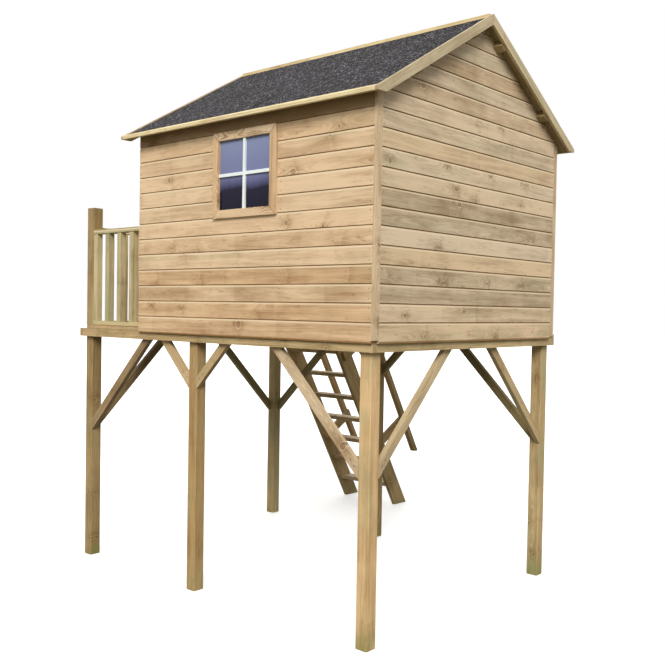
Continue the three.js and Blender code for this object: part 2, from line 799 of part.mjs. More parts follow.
// Turned wooden knob near the door's free edge: a foot, a waist and a round belly
function addKnob() {
  const footShares = [[0, 0], [1.3, 0], [1.3, 0.06], [1, 0.14], [1, 0.26]];
  const profile = footShares.map(([r, h]) => new THREE.Vector2(r * knobStemRadius, h * knobLength));
  const bellyStartShare = 0.42;
  const bellySteps = 8;
  const bellyHalf = ((1 - bellyStartShare) * knobLength) / 2;
  for (let i = 1; i < bellySteps; i += 1) {
    const angle = -Math.PI / 4 + ((3 * Math.PI) / 4) * (i / bellySteps);
    const height = knobLength - bellyHalf + bellyHalf * Math.sin(angle);
    profile.push(new THREE.Vector2(knobRadius * Math.cos(angle), height));
  }
  profile.push(new THREE.Vector2(0, knobLength));
  const geometry = new THREE.LatheGeometry(profile, roundSides);
  geometry.rotateZ(Math.PI / 2);
  geometry.translate(onDoorFace, doorLeafY[1] - knobFromEdge, deckTop + knobHeight);
  addPiece('door_knob', geometry, trimWood);
}

// Ladder. The stringers' undersides run from the lower edge of the rear beam down to the ground; they
// have a plumb cut against the beam, a level cut at the deck and a level cut on the ground.
const ladderY = platformRear + fitGap;
const ladderX = (platformLeft + cabinLeft) / 2;
const ladderWidth = porchLength - 2 * ladderSideSpace;

// Y at height z of a line along the ladder, `out` being its square distance from the undersides
function ladderLine(z, out) {
  return ladderY + (beamBottom - z) / Math.tan(ladderAngle) + out / Math.sin(ladderAngle);
}

// The low corners of the treads: even rises up to the deck, each tread in the middle of the stringers
function treadPlaces() {
  const rise = deckTop / (ladderTreads + 1);
  const setIn = (stringerWidth / Math.sin(ladderAngle) - treadDepth) / 2;
  return Array.from({ length: ladderTreads }, (_, i) => {
    const z = (i + 1) * rise - treadThickness;
    return [ladderLine(z + treadThickness / 2, 0) + setIn, z];
  });
}

function addStringers() {
  const outline = [
    [ladderLine(0, 0), 0],
    [ladderLine(0, stringerWidth), 0],
    [ladderLine(deckTop, stringerWidth), deckTop],
    [ladderY, deckTop],
    [ladderY, beamBottom],
  ];
  for (const [name, side] of [['left', -1], ['right', 1]]) {
    const outer = ladderX + (side * ladderWidth) / 2;
    const inner = outer - side * stringerThickness;
    const x = span(outer, inner);
    const housingX = span(inner - side * overrun, inner + side * (treadHousing + fitGap));
    const housings = treadPlaces().map(([y, z]) => block(
      housingX,
      [y - fitGap, y + treadDepth + fitGap],
      [z - fitGap, z + treadThickness + fitGap],
    ));
    const board = prism(outline, 'x', x[0], x[1]);
    addPiece(`ladder_stringer_${name}`, cutFrom(board, housings), frameWood);
  }
}

// Treads, let a little into both stringers
function addTreads() {
  const half = ladderWidth / 2 - stringerThickness + treadHousing;
  treadPlaces().forEach(([y, z], i) => {
    const outline = easedOutline([y, y + treadDepth], [z, z + treadThickness], treadEase);
    addPiece(`ladder_tread_${i + 1}`, prism(outline, 'x', ladderX - half, ladderX + half), deckWood);
  });
}

// Handrails: square rails along the ladder with level ends, held off the stringers' outer faces by two
// flat struts square to the slope
function addHandrails() {
  const under = stringerWidth + handrailOffset;
  const over = under + handrailSize;
  const top = deckTop + handrailRise;
  const rail = [
    [ladderLine(handrailFootHeight, under), handrailFootHeight],
    [ladderLine(handrailFootHeight, over), handrailFootHeight],
    [ladderLine(top, over), top],
    [ladderLine(top, under), top],
  ];
  const down = new THREE.Vector2(Math.cos(ladderAngle), -Math.sin(ladderAngle));
  const out = new THREE.Vector2(Math.sin(ladderAngle), Math.cos(ladderAngle));
  const strut = (height) => {
    const base = new THREE.Vector2(ladderLine(height, stringerWidth), height);
    const corner = (along, distance) => base.clone()
      .addScaledVector(down, along)
      .addScaledVector(out, distance)
      .toArray();
    const half = strutWidth / 2;
    const near = strutSetIn - stringerWidth;
    const far = over - stringerWidth;
    return [corner(-half, near), corner(half, near), corner(half, far), corner(-half, far)];
  };
  for (const [name, side] of [['left', -1], ['right', 1]]) {
    const inner = ladderX + side * (ladderWidth / 2 + fitGap);
    const middle = inner + side * strutThickness;
    const strutX = span(inner, middle);
    const railX = span(middle - side * weld, middle + side * handrailSize);
    const struts = strutHeightShares.map((share) => prism(strut(share * deckTop), 'x', strutX[0], strutX[1]));
    const handrail = joined([prism(rail, 'x', railX[0], railX[1]), ...struts]);
    addPiece(`ladder_handrail_${name}`, handrail, frameWood);
  }
}

// Roof panels: boards up the slope with grooves under their joints, on two purlins. They lie between the
// bargeboards, from the eave batten to the ridge.
function addRoofPanels() {
  const seam = ridgeY - fitGap;
  const slab = [
    [roofEdgeY, slopeLine(roofEdgeY, 0)],
    [seam, slopeLine(seam, 0)],
    [seam, slopeLine(seam, boardTopLift)],
    [roofEdgeY, slopeLine(roofEdgeY, boardTopLift)],
  ];
  const ends = [roofEdgeY - overrun, seam + overrun];
  const grooveTop = roofGrooveDepth * steep;
  const groove = [
    [ends[0], slopeLine(ends[0], -overrun)],
    [ends[1], slopeLine(ends[1], -overrun)],
    [ends[1], slopeLine(ends[1], grooveTop)],
    [ends[0], slopeLine(ends[0], grooveTop)],
  ];
  const half = roofGrooveWidth / 2;
  for (const side of ['front', 'rear']) {
    const grooves = [];
    for (let x = roofX[0] + roofBoardPitch; x + half < roofX[1]; x += roofBoardPitch) {
      grooves.push(prism(forSide(side, groove), 'x', x - half, x + half));
    }
    const boards = cutFrom(prism(forSide(side, slab), 'x', roofX[0], roofX[1]), grooves);
    addPiece(`roof_panel_${side}`, joined([boards, ...purlins(side, 0)]), gableWood);
  }
}

// Felt: one sheet folded over the ridge, from eave batten to eave batten
function addFelt() {
  const edges = [roofEdgeY, ridgeY, cabinDepth - roofEdgeY];
  const outline = [
    ...edges.map((y) => [y, roofLine(y, feltBottomLift)]),
    ...edges.reverse().map((y) => [y, roofLine(y, feltTopLift)]),
  ];
  addPiece('roof_felt', prism(outline, 'x', roofX[0], roofX[1]), mineralFelt);
}

// Bargeboards: a pair at each gable, mitred plumb at the ridge where the seam shows as a fine groove. At
// each eave they have a plumb cut as high as the eave batten, and a level cut.
function addBargeboards() {
  const bottomLift = bargeTopLift - bargeWidth * steep;
  const tip = slopeLine(eaveY, bargeTopLift);
  const level = tip - eaveBattenHeight;
  const heel = eaveY + (level - slopeLine(eaveY, bottomLift)) / slope;
  const half = [
    [ridgeY, roofLine(ridgeY, bottomLift)],
    [heel, level],
    [eaveY, level],
    [eaveY, tip],
    [ridgeY, roofLine(ridgeY, bargeTopLift)],
  ];
  const mirrored = forSide('rear', half).slice(1, -1).reverse();
  const pair = [...half, ...mirrored];
  const seamY = [ridgeY - seamWidth / 2, ridgeY + seamWidth / 2];
  const seamZ = [roofLine(ridgeY, bottomLift) - overrun, roofLine(ridgeY, bargeTopLift) + overrun];
  const outer = { porch: cabinLeft - gableOverhang, gable: gableOverhang };
  for (const [end, x] of Object.entries(outer)) {
    const inward = end === 'gable' ? -1 : 1;
    const board = span(x, x + inward * bargeThickness);
    const seam = block(span(x - inward * overrun, x + inward * seamWidth), seamY, seamZ);
    addPiece(`bargeboards_${end}_end`, cutFrom(prism(pair, 'x', board[0], board[1]), [seam]), trimWood);
  }
}

// Eave battens close the lower edges of the roof between the bargeboards
function addEaveBattens() {
  const inner = eaveY + eaveBattenThickness;
  const top = slopeLine(eaveY, bargeTopLift);
  const bottom = top - eaveBattenHeight;
  const outline = [[eaveY, bottom], [inner, bottom], [inner, slopeLine(inner, bargeTopLift)], [eaveY, top]];
  for (const side of ['front', 'rear']) {
    addPiece(`eave_batten_${side}`, prism(forSide(side, outline), 'x', roofX[0], roofX[1]), trimWood);
  }
}

// Ridge batten: seated over the felt with a V cut underneath
function addRidgeBatten() {
  const half = ridgeBattenWidth / 2;
  const seat = feltTopLift + fitGap;
  const edge = roofLine(ridgeY - half, seat);
  const top = edge + ridgeBattenHeight;
  const outline = [
    [ridgeY - half, edge],
    [ridgeY, roofLine(ridgeY, seat)],
    [ridgeY + half, edge],
    [ridgeY + half, top],
    [ridgeY - half, top],
  ];
  addPiece('ridge_batten', prism(outline, 'x', roofX[0], roofX[1]), trimWood);
}

addPosts();
addBeams();
addLengthwiseBraces();
addCrosswiseBraces();
addCabinFloor();
addPorchDeck();
addRailings();
addWindowWall();
addRearWall();
addPlainGable();
addPorchGable();
addWindow();
addDoor();
addDoorTrim();
addTurnButton();
addHinges();
addKnob();
addStringers();
addTreads();
addHandrails();
addRoofPanels();
addFelt();
addBargeboards();
addEaveBattens();
addRidgeBatten();

// The origin goes to the ground under the middle of the whole object
const bounds = new THREE.Box3().setFromObject(assembly);
const middle = bounds.getCenter(new THREE.Vector3());
assembly.position.set(-middle.x, -middle.y, -bounds.min.z);

const playhouse = new THREE.Group();
playhouse.add(assembly);

export default playhouse;
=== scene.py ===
"""Looks of the raised playhouse: weathered pine, mineral felt, window pane, screws and nails."""

import math

import bmesh
import bpy
from mathutils import Euler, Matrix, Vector
from mathutils.bvhtree import BVHTree


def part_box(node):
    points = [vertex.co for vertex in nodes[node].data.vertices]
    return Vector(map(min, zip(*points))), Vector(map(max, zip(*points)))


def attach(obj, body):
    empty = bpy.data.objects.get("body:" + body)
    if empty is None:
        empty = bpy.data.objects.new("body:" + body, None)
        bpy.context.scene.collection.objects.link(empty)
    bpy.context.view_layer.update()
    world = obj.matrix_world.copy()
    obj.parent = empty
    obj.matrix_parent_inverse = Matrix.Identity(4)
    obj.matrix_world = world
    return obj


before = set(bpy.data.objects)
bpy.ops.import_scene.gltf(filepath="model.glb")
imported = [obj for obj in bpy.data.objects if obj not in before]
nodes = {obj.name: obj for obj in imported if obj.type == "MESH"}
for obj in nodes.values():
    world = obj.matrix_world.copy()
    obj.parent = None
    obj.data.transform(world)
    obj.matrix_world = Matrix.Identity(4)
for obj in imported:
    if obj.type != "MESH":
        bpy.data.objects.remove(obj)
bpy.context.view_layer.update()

X, Y, Z = Vector((1, 0, 0)), Vector((0, 1, 0)), Vector((0, 0, 1))

# Sizes that the materials and the fasteners follow, in metres
BOARD_PITCH = 0.090
BOTTOM_BOARD = 0.096
WALL_BOARD = 0.016
CORNER_BATTEN = 0.040
RAIL = 0.028
BALUSTER = 0.040
FRONT_BALUSTERS = 5
END_BALUSTERS = 14
DECK_BOARDS = 17
DECK_GAP = 0.006
TREADS = 7
HANDRAIL = 0.040
STRUT_SHOWN = 0.0205
DOOR_BOARDS = 6
LEDGE_SPACING = 0.37
DOOR_HEAD = 0.045
ROOF_PITCH = math.radians(30.5)
LADDER_ANGLE = math.radians(59.6)

# A pitch that only tells one rail, trim board or purlin of a piece from the next
WIDE_PITCH = 0.3

# Ends of the tests that say where a stretch of wood lies: past the whole part, and a hair off a face
FAR = 100.0
HAIR = 0.0005

# Picture frame and camera
IMAGE_SIDE = 665
FOCAL_PIXELS = 865.927
SENSOR = 36.0
CAMERA_PLACE = (3.66895, -4.46438, 1.60848)
CAMERA_TURN = Euler((1.54375, -0.01710, 0.72380))


def rgba(color):
    return (*color, 1.0)


class Tree:
    """Short calls that build a node tree."""

    def __init__(self, tree):
        self.tree = tree

    def put(self, socket, value):
        if isinstance(value, bpy.types.NodeSocket):
            self.tree.links.new(value, socket)
        elif value is not None:
            socket.default_value = value

    def add(self, kind, inputs=None, **settings):
        node = self.tree.nodes.new(kind)
        for key, value in settings.items():
            setattr(node, key, value)
        for key, value in (inputs or {}).items():
            self.put(node.inputs[key], value)
        return node

    def math(self, operation, *values, clamp=False):
        inputs = dict(enumerate(values))
        return self.add("ShaderNodeMath", inputs, operation=operation, use_clamp=clamp).outputs[0]

    def plus(self, total, *others):
        for other in others:
            total = self.math("ADD", total, other)
        return total

    def minus(self, a, b):
        return self.math("SUBTRACT", a, b)

    def times(self, a, b):
        return self.math("MULTIPLY", a, b)

    def absolute(self, value):
        return self.math("ABSOLUTE", value)

    def swing(self, value, amount):
        """A value of 0 to 1 made into a shift of up to half the amount either way."""
        return self.times(self.minus(value, 0.5), amount)

    def hypotenuse(self, a, b):
        return self.math("SQRT", self.plus(self.times(a, a), self.times(b, b)))

    def bell(self, distance, width):
        """1 at no distance, falling off over the width."""
        share = self.math("DIVIDE", distance, width)
        return self.math("EXPONENT", self.times(self.times(share, share), -0.5))

    def smooth(self, value, low, high, to_low=0.0, to_high=1.0):
        inputs = {0: value, 1: low, 2: high, 3: to_low, 4: to_high}
        return self.add("ShaderNodeMapRange", inputs, interpolation_type="SMOOTHSTEP").outputs[0]

    def vector(self, operation, *values):
        return self.add("ShaderNodeVectorMath", dict(enumerate(values)), operation=operation).outputs[0]

    def dot(self, a, b):
        node = self.add("ShaderNodeVectorMath", {0: a, 1: b}, operation="DOT_PRODUCT")
        return node.outputs["Value"]

    def split(self, vector):
        return self.add("ShaderNodeSeparateXYZ", {0: vector}).outputs

    def combine(self, x, y, z):
        return self.add("ShaderNodeCombineXYZ", {0: x, 1: y, 2: z}).outputs[0]

    def scaled(self, vector, factors, shift=0.0):
        stretched = self.vector("MULTIPLY", vector, factors)
        moved = self.combine(shift, shift, shift)
        return self.vector("ADD", stretched, moved)

    def mixed(self, kind, first, out, values, **settings):
        """A Mix node. Its inputs for the two values follow one another from the first."""
        node = self.add("ShaderNodeMix", data_type=kind, clamp_factor=True, **settings)
        for socket, value in zip((node.inputs[0], node.inputs[first], node.inputs[first + 1]), values):
            self.put(socket, value)
        return node.outputs[out]

    def mix(self, factor, a, b):
        return self.mixed("FLOAT", 2, 0, (factor, a, b))

    def mix_vector(self, factor, a, b):
        return self.mixed("VECTOR", 4, 1, (factor, a, b))

    def blend(self, factor, a, b, mode="MIX"):
        return self.mixed("RGBA", 6, 2, (factor, a, b), blend_type=mode)

    def noise(self, vector, scale=1.0, detail=2.0, roughness=0.5, output="Fac"):
        inputs = {"Vector": vector, "Scale": scale, "Detail": detail, "Roughness": roughness}
        return self.add("ShaderNodeTexNoise", inputs).outputs[output]

    def cells(self, vector, scale):
        return self.add("ShaderNodeTexVoronoi", {"Vector": vector, "Scale": scale}, feature="F1").outputs

    def random(self, seed):
        node = self.add("ShaderNodeTexWhiteNoise", {"W": seed}, noise_dimensions="1D")
        return self.split(node.outputs["Color"])

    def ramp(self, value, stops):
        """The stops' colours, blended between their positions."""
        node = self.add("ShaderNodeValToRGB", {0: value})
        elements = node.color_ramp.elements
        while len(elements) < len(stops):
            elements.new(0.5)
        for element, (position, color) in zip(elements, stops):
            element.position = position
            element.color = rgba(color)
        return node.outputs[0]

    def bump(self, height, strength, distance):
        inputs = {"Strength": strength, "Distance": distance, "Height": height}
        return self.add("ShaderNodeBump", inputs).outputs["Normal"]

    def seen(self):
        """1 for what the camera sees, itself or in gloss or glass, and 0 for what lights the object."""
        path = self.add("ShaderNodeLightPath").outputs
        seen = self.math("MAXIMUM", path["Is Camera Ray"], path["Is Glossy Ray"])
        return self.math("MAXIMUM", seen, path["Is Transmission Ray"])


# Pine, in metres: how far the pith lies and wanders from a board's middle, to the side and behind its face,
# and how much it slants in a metre
PITH_ASIDE = 0.13
PITH_DEPTH = 0.022
PITH_DEPTH_SPREAD = 0.05
PITH_WANDER_ASIDE = 0.05
PITH_WANDER_DEEP = 0.030
PITH_SLANT = 0.020

# Rings: least width, how much wider they may be, and how far a knot pushes them out
RING_WIDTH = 0.0028
RING_SPREAD = 0.0022
RING_BEND = 0.011

# Knots: places for one in a metre, the spread of their directions round the pith in radians, least radius
# and how much larger they may be, raggedness, and the widths of the bark line and of the pale line round it
KNOT_PLACES = 2.7
KNOT_FAN = 1.7
KNOT_RADIUS = 0.0060
KNOT_SPREAD = 0.0110
KNOT_RAGGED = 0.014
BARK_LINE = 0.0013
PALE_LINE = 0.0020

# Wavy lines across the grain beside a knot: how far they sway, their width, and the soft band along them
WHORL_SWAY = 0.11
WHORL_LINE = 0.0040
WHORL_BAND = 0.016
WHORL_BAND_WIDTH = 0.014

# Tints laid over the wood
WARM_TINT = rgba((1.0, 0.86, 0.70))
KNOT_SMEAR = rgba((0.215, 0.130, 0.055))
KNOT_WOOD = rgba((0.300, 0.170, 0.080))
KNOT_BARK = rgba((0.080, 0.042, 0.018))
GREEN_STAIN = rgba((0.36, 0.37, 0.21))
MOSS = rgba((0.175, 0.200, 0.060))
# Painted highlight along each board's upper edge, where a bevel would catch the light
BEVEL_HIGHLIGHT = rgba((0.860, 0.720, 0.500))
END_GRAIN = rgba((0.23, 0.14, 0.065))
# Dark tint of the joints between boards, also used for the painted shade under the roof's edges
JOINT_TINT_AND_PAINTED_SHADE = rgba((0.190, 0.082, 0.010))


def timber_group():
    """Solid pine: growth rings round a pith, knots that grow out from it, fibre, streaks and stains."""
    group = bpy.data.node_groups.new("timber", "ShaderNodeTree")
    numbers = ("Seed", "Joint_and_shade", "End", "Tint", "Knots", "Green", "Grain", "Edge", "Damp")
    group.interface.new_socket("Place", in_out="INPUT", socket_type="NodeSocketVector")
    for name in ("Light", "Dark"):
        group.interface.new_socket(name, in_out="INPUT", socket_type="NodeSocketColor")
    for name in numbers:
        group.interface.new_socket(name, in_out="INPUT", socket_type="NodeSocketFloat")
    group.interface.new_socket("Color", in_out="OUTPUT", socket_type="NodeSocketColor")
    for name in ("Height", "Rough"):
        group.interface.new_socket(name, in_out="OUTPUT", socket_type="NodeSocketFloat")
    t = Tree(group)
    given = t.add("NodeGroupInput").outputs
    place, seed = given["Place"], given["Seed"]
    x, y, z = t.split(place)
    aside, deep, warm = t.random(seed)
    start, shade, wide = t.random(t.plus(seed, 31.7))
    shift = t.times(seed, 3.13)

    # Distance and direction from the pith, which wanders along the board
    wander = t.noise(t.scaled(place, (1.6, 5.0, 5.0), shift), detail=2.0, output="Color")
    wander_y, wander_z, wander_ring = t.split(wander)
    from_pith_y = t.plus(t.minus(y, t.swing(aside, PITH_ASIDE)), t.swing(wander_y, PITH_WANDER_ASIDE))
    depth = t.plus(t.times(deep, PITH_DEPTH_SPREAD), PITH_DEPTH)
    taper = t.times(x, t.swing(warm, PITH_SLANT))
    from_pith_z = t.plus(z, depth, taper, t.swing(wander_z, PITH_WANDER_DEEP))
    radius = t.hypotenuse(from_pith_y, from_pith_z)
    angle = t.math("ARCTAN2", from_pith_y, from_pith_z)

    # Knots: branches at random places along the pith, each growing straight out from it
    along = t.plus(t.times(x, KNOT_PLACES), t.times(start, 40.0))
    cell = t.add("ShaderNodeTexVoronoi", {"W": along, "Scale": 1.0, "Randomness": 0.95},
                 voronoi_dimensions="1D", feature="F1")
    turned, large, rank = t.split(cell.outputs["Color"])
    ragged = t.noise(t.scaled(place, (75.0, 75.0, 75.0), shift), detail=3.0, roughness=0.6, output="Color")
    ragged_x, ragged_y, ragged_rim = t.split(ragged)
    from_x = t.math("DIVIDE", t.minus(along, cell.outputs["W"]), KNOT_PLACES)
    from_x = t.plus(from_x, t.swing(ragged_x, KNOT_RAGGED))
    from_y = t.times(t.minus(angle, t.swing(turned, KNOT_FAN)), radius)
    from_y = t.plus(from_y, t.swing(ragged_y, KNOT_RAGGED))
    away = t.hypotenuse(from_x, from_y)
    drawn_out = t.hypotenuse(t.times(from_x, 0.45), from_y)
    there = t.math("LESS_THAN", rank, given["Knots"])
    size = t.plus(t.times(t.times(large, large), KNOT_SPREAD), KNOT_RADIUS)
    around = t.times(t.bell(drawn_out, t.times(size, 1.5)), there)
    halo = t.times(t.bell(drawn_out, t.times(size, 3.4)), there)
    core = t.times(t.smooth(away, t.times(size, 0.6), size, 1.0, 0.0), there)
    broken = t.times(there, t.smooth(ragged_rim, 0.38, 0.60, 0.15, 1.0))
    rim = t.times(t.bell(t.minus(away, size), BARK_LINE), broken)
    pale_rim = t.times(t.bell(t.minus(away, t.times(size, 1.45)), PALE_LINE), there)

    # Wavy lines across the grain beside each knot
    bends = t.noise(t.scaled(place, (6.0, 26.0, 26.0), shift), detail=2.0, roughness=0.5)
    across_grain = t.plus(from_x, t.swing(bends, WHORL_SWAY))
    whorl = t.times(t.bell(across_grain, WHORL_LINE), broken)
    flank = t.times(t.bell(t.minus(across_grain, WHORL_BAND), WHORL_BAND_WIDTH), there)
    beside = t.times(t.smooth(across_grain, -0.02, 0.02), t.minus(turned, 0.5))

    # Growth rings, bent round the knots, with a dark late edge
    bent = t.plus(radius, t.times(halo, RING_BEND))
    width = t.plus(t.times(wide, RING_SPREAD), RING_WIDTH)
    count = t.plus(t.math("DIVIDE", bent, width), t.times(wander_ring, 2.0))
    turn = t.math("FRACT", count)
    late = t.times(t.smooth(turn, 0.25, 0.86), t.smooth(turn, 0.9, 1.0, 1.0, 0.0))

    # Fibre, streaks and dashes along the grain, blotches and stains
    flow = t.combine(x, bent, t.times(angle, 0.012))
    fibre = t.noise(t.scaled(place, (11.0, 330.0, 330.0), shift), detail=3.0, roughness=0.6)
    streak = t.noise(t.scaled(flow, (1.5, 62.0, 62.0), shift), detail=4.0, roughness=0.62)
    dashes = t.noise(t.scaled(flow, (16.0, 150.0, 150.0), t.plus(shift, 5.0)), detail=1.0)
    blotch = t.noise(t.scaled(place, (4.0, 9.0, 9.0), shift), detail=3.0, roughness=0.55)
    stain = t.noise(t.scaled(place, (3.0, 13.0, 13.0), t.plus(shift, 9.0)), detail=4.0, roughness=0.6)

    # Tone from pale spring wood at 0 to dark late wood at 1
    tone = t.times(late, given["Grain"])
    for value, amount in ((streak, 1.45), (blotch, 1.15), (fibre, 0.60)):
        tone = t.plus(tone, t.swing(value, amount))
    tone = t.plus(tone, t.smooth(dashes, 0.64, 0.78, 0.0, 0.34), t.swing(shade, given["Tint"]), 0.22)
    for value, amount in ((beside, 0.26), (flank, 0.16), (whorl, -0.22), (pale_rim, -0.75), (around, 0.30)):
        tone = t.plus(tone, t.times(value, amount))
    tone = t.math("ADD", tone, 0.0, clamp=True)

    # Colour: the wood, then what lies on it, with a painted highlight along the boards' upper edges and
    # painted shade under the roof's edges
    color = t.blend(tone, given["Light"], given["Dark"])
    smear = t.times(around, t.smooth(t.plus(streak, t.times(late, 0.3)), 0.35, 0.75))
    color = t.blend(t.times(smear, 0.50), color, KNOT_SMEAR)
    warmed = t.blend(1.0, color, WARM_TINT, "MULTIPLY")
    color = t.blend(t.times(t.times(warm, warm), 0.55), color, warmed)
    layers = (
        (t.times(t.smooth(stain, 0.46, 0.72), t.times(start, given["Green"])), GREEN_STAIN),
        (t.times(given["Damp"], t.smooth(blotch, 0.35, 0.60)), MOSS),
        (t.times(core, 0.50), KNOT_WOOD),
        (t.times(rim, 0.85), KNOT_BARK),
        # Painted highlight along the boards' upper edges
        (t.times(given["Edge"], 0.72), BEVEL_HIGHLIGHT),
        (t.times(given["End"], 0.45), END_GRAIN),
        # Dark joints, together with the painted shade under the roof's edges
        (t.times(given["Joint_and_shade"], 0.78), JOINT_TINT_AND_PAINTED_SHADE),
    )
    for share, tint in layers:
        color = t.blend(share, color, tint)

    out = t.add("NodeGroupOutput").inputs
    t.put(out["Color"], color)
    t.put(out["Height"], t.plus(t.minus(fibre, t.times(late, 0.35)), t.times(core, 0.5)))
    t.put(out["Rough"], t.minus(t.plus(t.times(fibre, 0.22), 0.60), t.times(core, 0.14)))
    return group


TIMBER = timber_group()

# The timbers: colours of the pale spring wood and the dark late wood, how much a board differs from the
# next, how many of the places for a knot hold one, and how strong the green stain and the rings are
LOOKS = {
    "wall": dict(
        light=(0.73, 0.545, 0.355), dark=(0.350, 0.215, 0.110),
        tint=0.55, knots=0.55, green=0.30, grain=0.20,
    ),
    "gable": dict(
        light=(0.69, 0.555, 0.395), dark=(0.285, 0.198, 0.118),
        tint=0.55, knots=0.46, green=0.36, grain=0.18,
    ),
    "frame": dict(
        light=(0.50, 0.355, 0.175), dark=(0.210, 0.132, 0.050),
        tint=0.30, knots=0.40, green=0.55, grain=0.30,
    ),
    "trim": dict(
        light=(0.86, 0.740, 0.490), dark=(0.480, 0.345, 0.175),
        tint=0.25, knots=0.22, green=0.30, grain=0.28,
    ),
    "window": dict(
        light=(0.72, 0.545, 0.355), dark=(0.270, 0.150, 0.070),
        tint=0.50, knots=0.60, green=0.10, grain=0.55,
    ),
    "deck": dict(
        light=(0.56, 0.420, 0.240), dark=(0.270, 0.180, 0.085),
        tint=0.35, knots=0.45, green=0.55, grain=0.42,
    ),
    # The roof boards and purlins are darker than the walls, partly painted shade of the soffit under the
    # roof
    "roof": dict(
        light=(0.40, 0.310, 0.165), dark=(0.180, 0.130, 0.060),
        tint=0.35, knots=0.50, green=0.25, grain=0.30,
    ),
}
SEED_STEP = 7.31
JOINT_REACH = 0.0035
GABLE_JOINT_REACH = 0.0056
DAMP_HEIGHT = 0.16
DAMP_SHARE = 0.60


def board(along, across, origin, seed, pitch=None, lowest=None, where=(), reach=JOINT_REACH):
    """A stretch of wood with its own grain direction. The origin is on a joint where boards repeat."""
    return dict(
        along=along, across=across, origin=origin, seed=seed,
        pitch=pitch, lowest=lowest, where=where, reach=reach,
    )


def grain_frame(t, point, normal, part):
    """Place in the board, its seed, and how far a point is in a joint, on end grain and in the painted
    highlight along a board's upper edge.
    """
    offset = t.vector("SUBTRACT", point, part["origin"])
    along = t.dot(offset, part["along"])
    across = t.dot(offset, part["across"])
    through = t.dot(offset, part["along"].cross(part["across"]))
    seed, joint, edge = part["seed"], 0.0, 0.0
    if part["pitch"]:
        pitch = part["pitch"]
        index = t.math("FLOOR", t.math("DIVIDE", across, pitch))
        if part["lowest"] is not None:
            index = t.math("MAXIMUM", index, part["lowest"])
        seed = t.plus(t.times(index, SEED_STEP), part["seed"])
        across = t.minus(across, t.times(t.plus(index, 0.5), pitch))
        joint = t.smooth(t.absolute(across), pitch / 2 - part["reach"], pitch / 2)
        # Painted highlight just below each board's upper joint
        edge = t.bell(t.minus(across, pitch / 2 - 2 * JOINT_REACH), JOINT_REACH * 0.8)
    place = t.combine(along, across, through)
    end = t.smooth(t.absolute(t.dot(normal, part["along"])), 0.6, 0.9)
    return place, seed, joint, end, edge


def inside(t, point, tests):
    """1 where every test holds. A test is a direction with the least and most of the distance along it."""
    mask = 1.0
    for direction, low, high in tests:
        distance = t.dot(point, direction)
        mask = t.times(mask, t.math("GREATER_THAN", distance, low))
        mask = t.times(mask, t.math("LESS_THAN", distance, high))
    return mask


def plain_material(name):
    material = bpy.data.materials.new(name)
    material.use_nodes = True
    t = Tree(material.node_tree)
    coordinates = t.add("ShaderNodeTexCoord").outputs
    shader = material.node_tree.nodes["Principled BSDF"].inputs
    return material, t, shader, coordinates["Object"], coordinates["Normal"]


def wood(name, look, parts, seam_and_painted_shade=None, **changes):
    """A timber material of one or more stretches, each laid over the one before where its tests hold."""
    values = {**LOOKS[look], **changes}
    material, t, shader, point, normal = plain_material("wood_" + name)
    place, seed, joint, end, edge = grain_frame(t, point, normal, parts[0])
    for part in parts[1:]:
        where = part["where"]
        mask = where(t, point) if callable(where) else inside(t, point, where)
        other = grain_frame(t, point, normal, part)
        place = t.mix_vector(mask, place, other[0])
        seed, joint, end, edge = (t.mix(mask, a, b) for a, b in zip((seed, joint, end, edge), other[1:]))
    # The seam darkens like a joint: the window trim's mitre lines, and painted shade under the roof's edges
    if seam_and_painted_shade:
        joint = t.math("MAXIMUM", joint, seam_and_painted_shade(t, point))
    damp = t.smooth(t.split(point)[2], 0.0, DAMP_HEIGHT, DAMP_SHARE, 0.0)
    inputs = {
        "Place": place, "Seed": seed, "Joint_and_shade": joint, "End": end, "Edge": edge, "Damp": damp,
        "Light": rgba(values["light"]), "Dark": rgba(values["dark"]), "Tint": values["tint"],
        "Knots": values["knots"], "Green": values["green"], "Grain": values["grain"],
    }
    timber = t.add("ShaderNodeGroup", node_tree=TIMBER)
    for key, value in inputs.items():
        t.put(timber.inputs[key], value)
    t.put(shader["Base Color"], timber.outputs["Color"])
    t.put(shader["Roughness"], timber.outputs["Rough"])
    t.put(shader["Normal"], t.bump(timber.outputs["Height"], strength=0.35, distance=0.0008))
    t.put(shader["Specular IOR Level"], 0.15)
    return material


def dress(node, material):
    item = nodes[node]
    if not item.material_slots:
        item.data.materials.append(material)
    for material_slot in item.material_slots:
        material_slot.material = material


def middle_of(node):
    low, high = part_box(node)
    return (low + high) / 2


# Walls
wall_low, wall_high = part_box("wall_window_side")
gable_low, gable_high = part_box("wall_plain_gable")
porch_low, porch_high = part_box("wall_porch_gable")
rear_low, rear_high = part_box("wall_rear")
FIRST_JOINT = wall_low.z + BOTTOM_BOARD
WALL_OUT = wall_low.y
REAR_OUT = rear_high.y
RIDGE_Y = (WALL_OUT + REAR_OUT) / 2
WALL_BACK = WALL_BOARD + HAIR

# The board below the first joint is a little wider than the pitch and stays one board
LOWEST_BOARD = -1


def below_roof(t, point):
    """Distance down from the roof boards, with a ragged edge."""
    _, y, z = t.split(point)
    from_ridge = t.absolute(t.minus(y, RIDGE_Y))
    roof = t.minus(gable_high.z, t.times(from_ridge, math.tan(ROOF_PITCH)))
    ragged = t.noise(t.scaled(point, (9.0, 9.0, 3.0)), detail=3.0, roughness=0.6)
    return t.plus(t.minus(roof, z), t.swing(ragged, 0.05))


# Painted shade on the walls' top boards under the eaves, fading out between about 7 and 12 cm below the roof
# boards
def painted_eave_shade(t, point):
    return t.smooth(below_roof(t, point), 0.070, 0.116, 0.74, 0.0)


# Fainter painted shade on the gables just under the bargeboards
def painted_rake_shade(t, point):
    return t.smooth(below_roof(t, point), 0.030, 0.065, 0.12, 0.0)


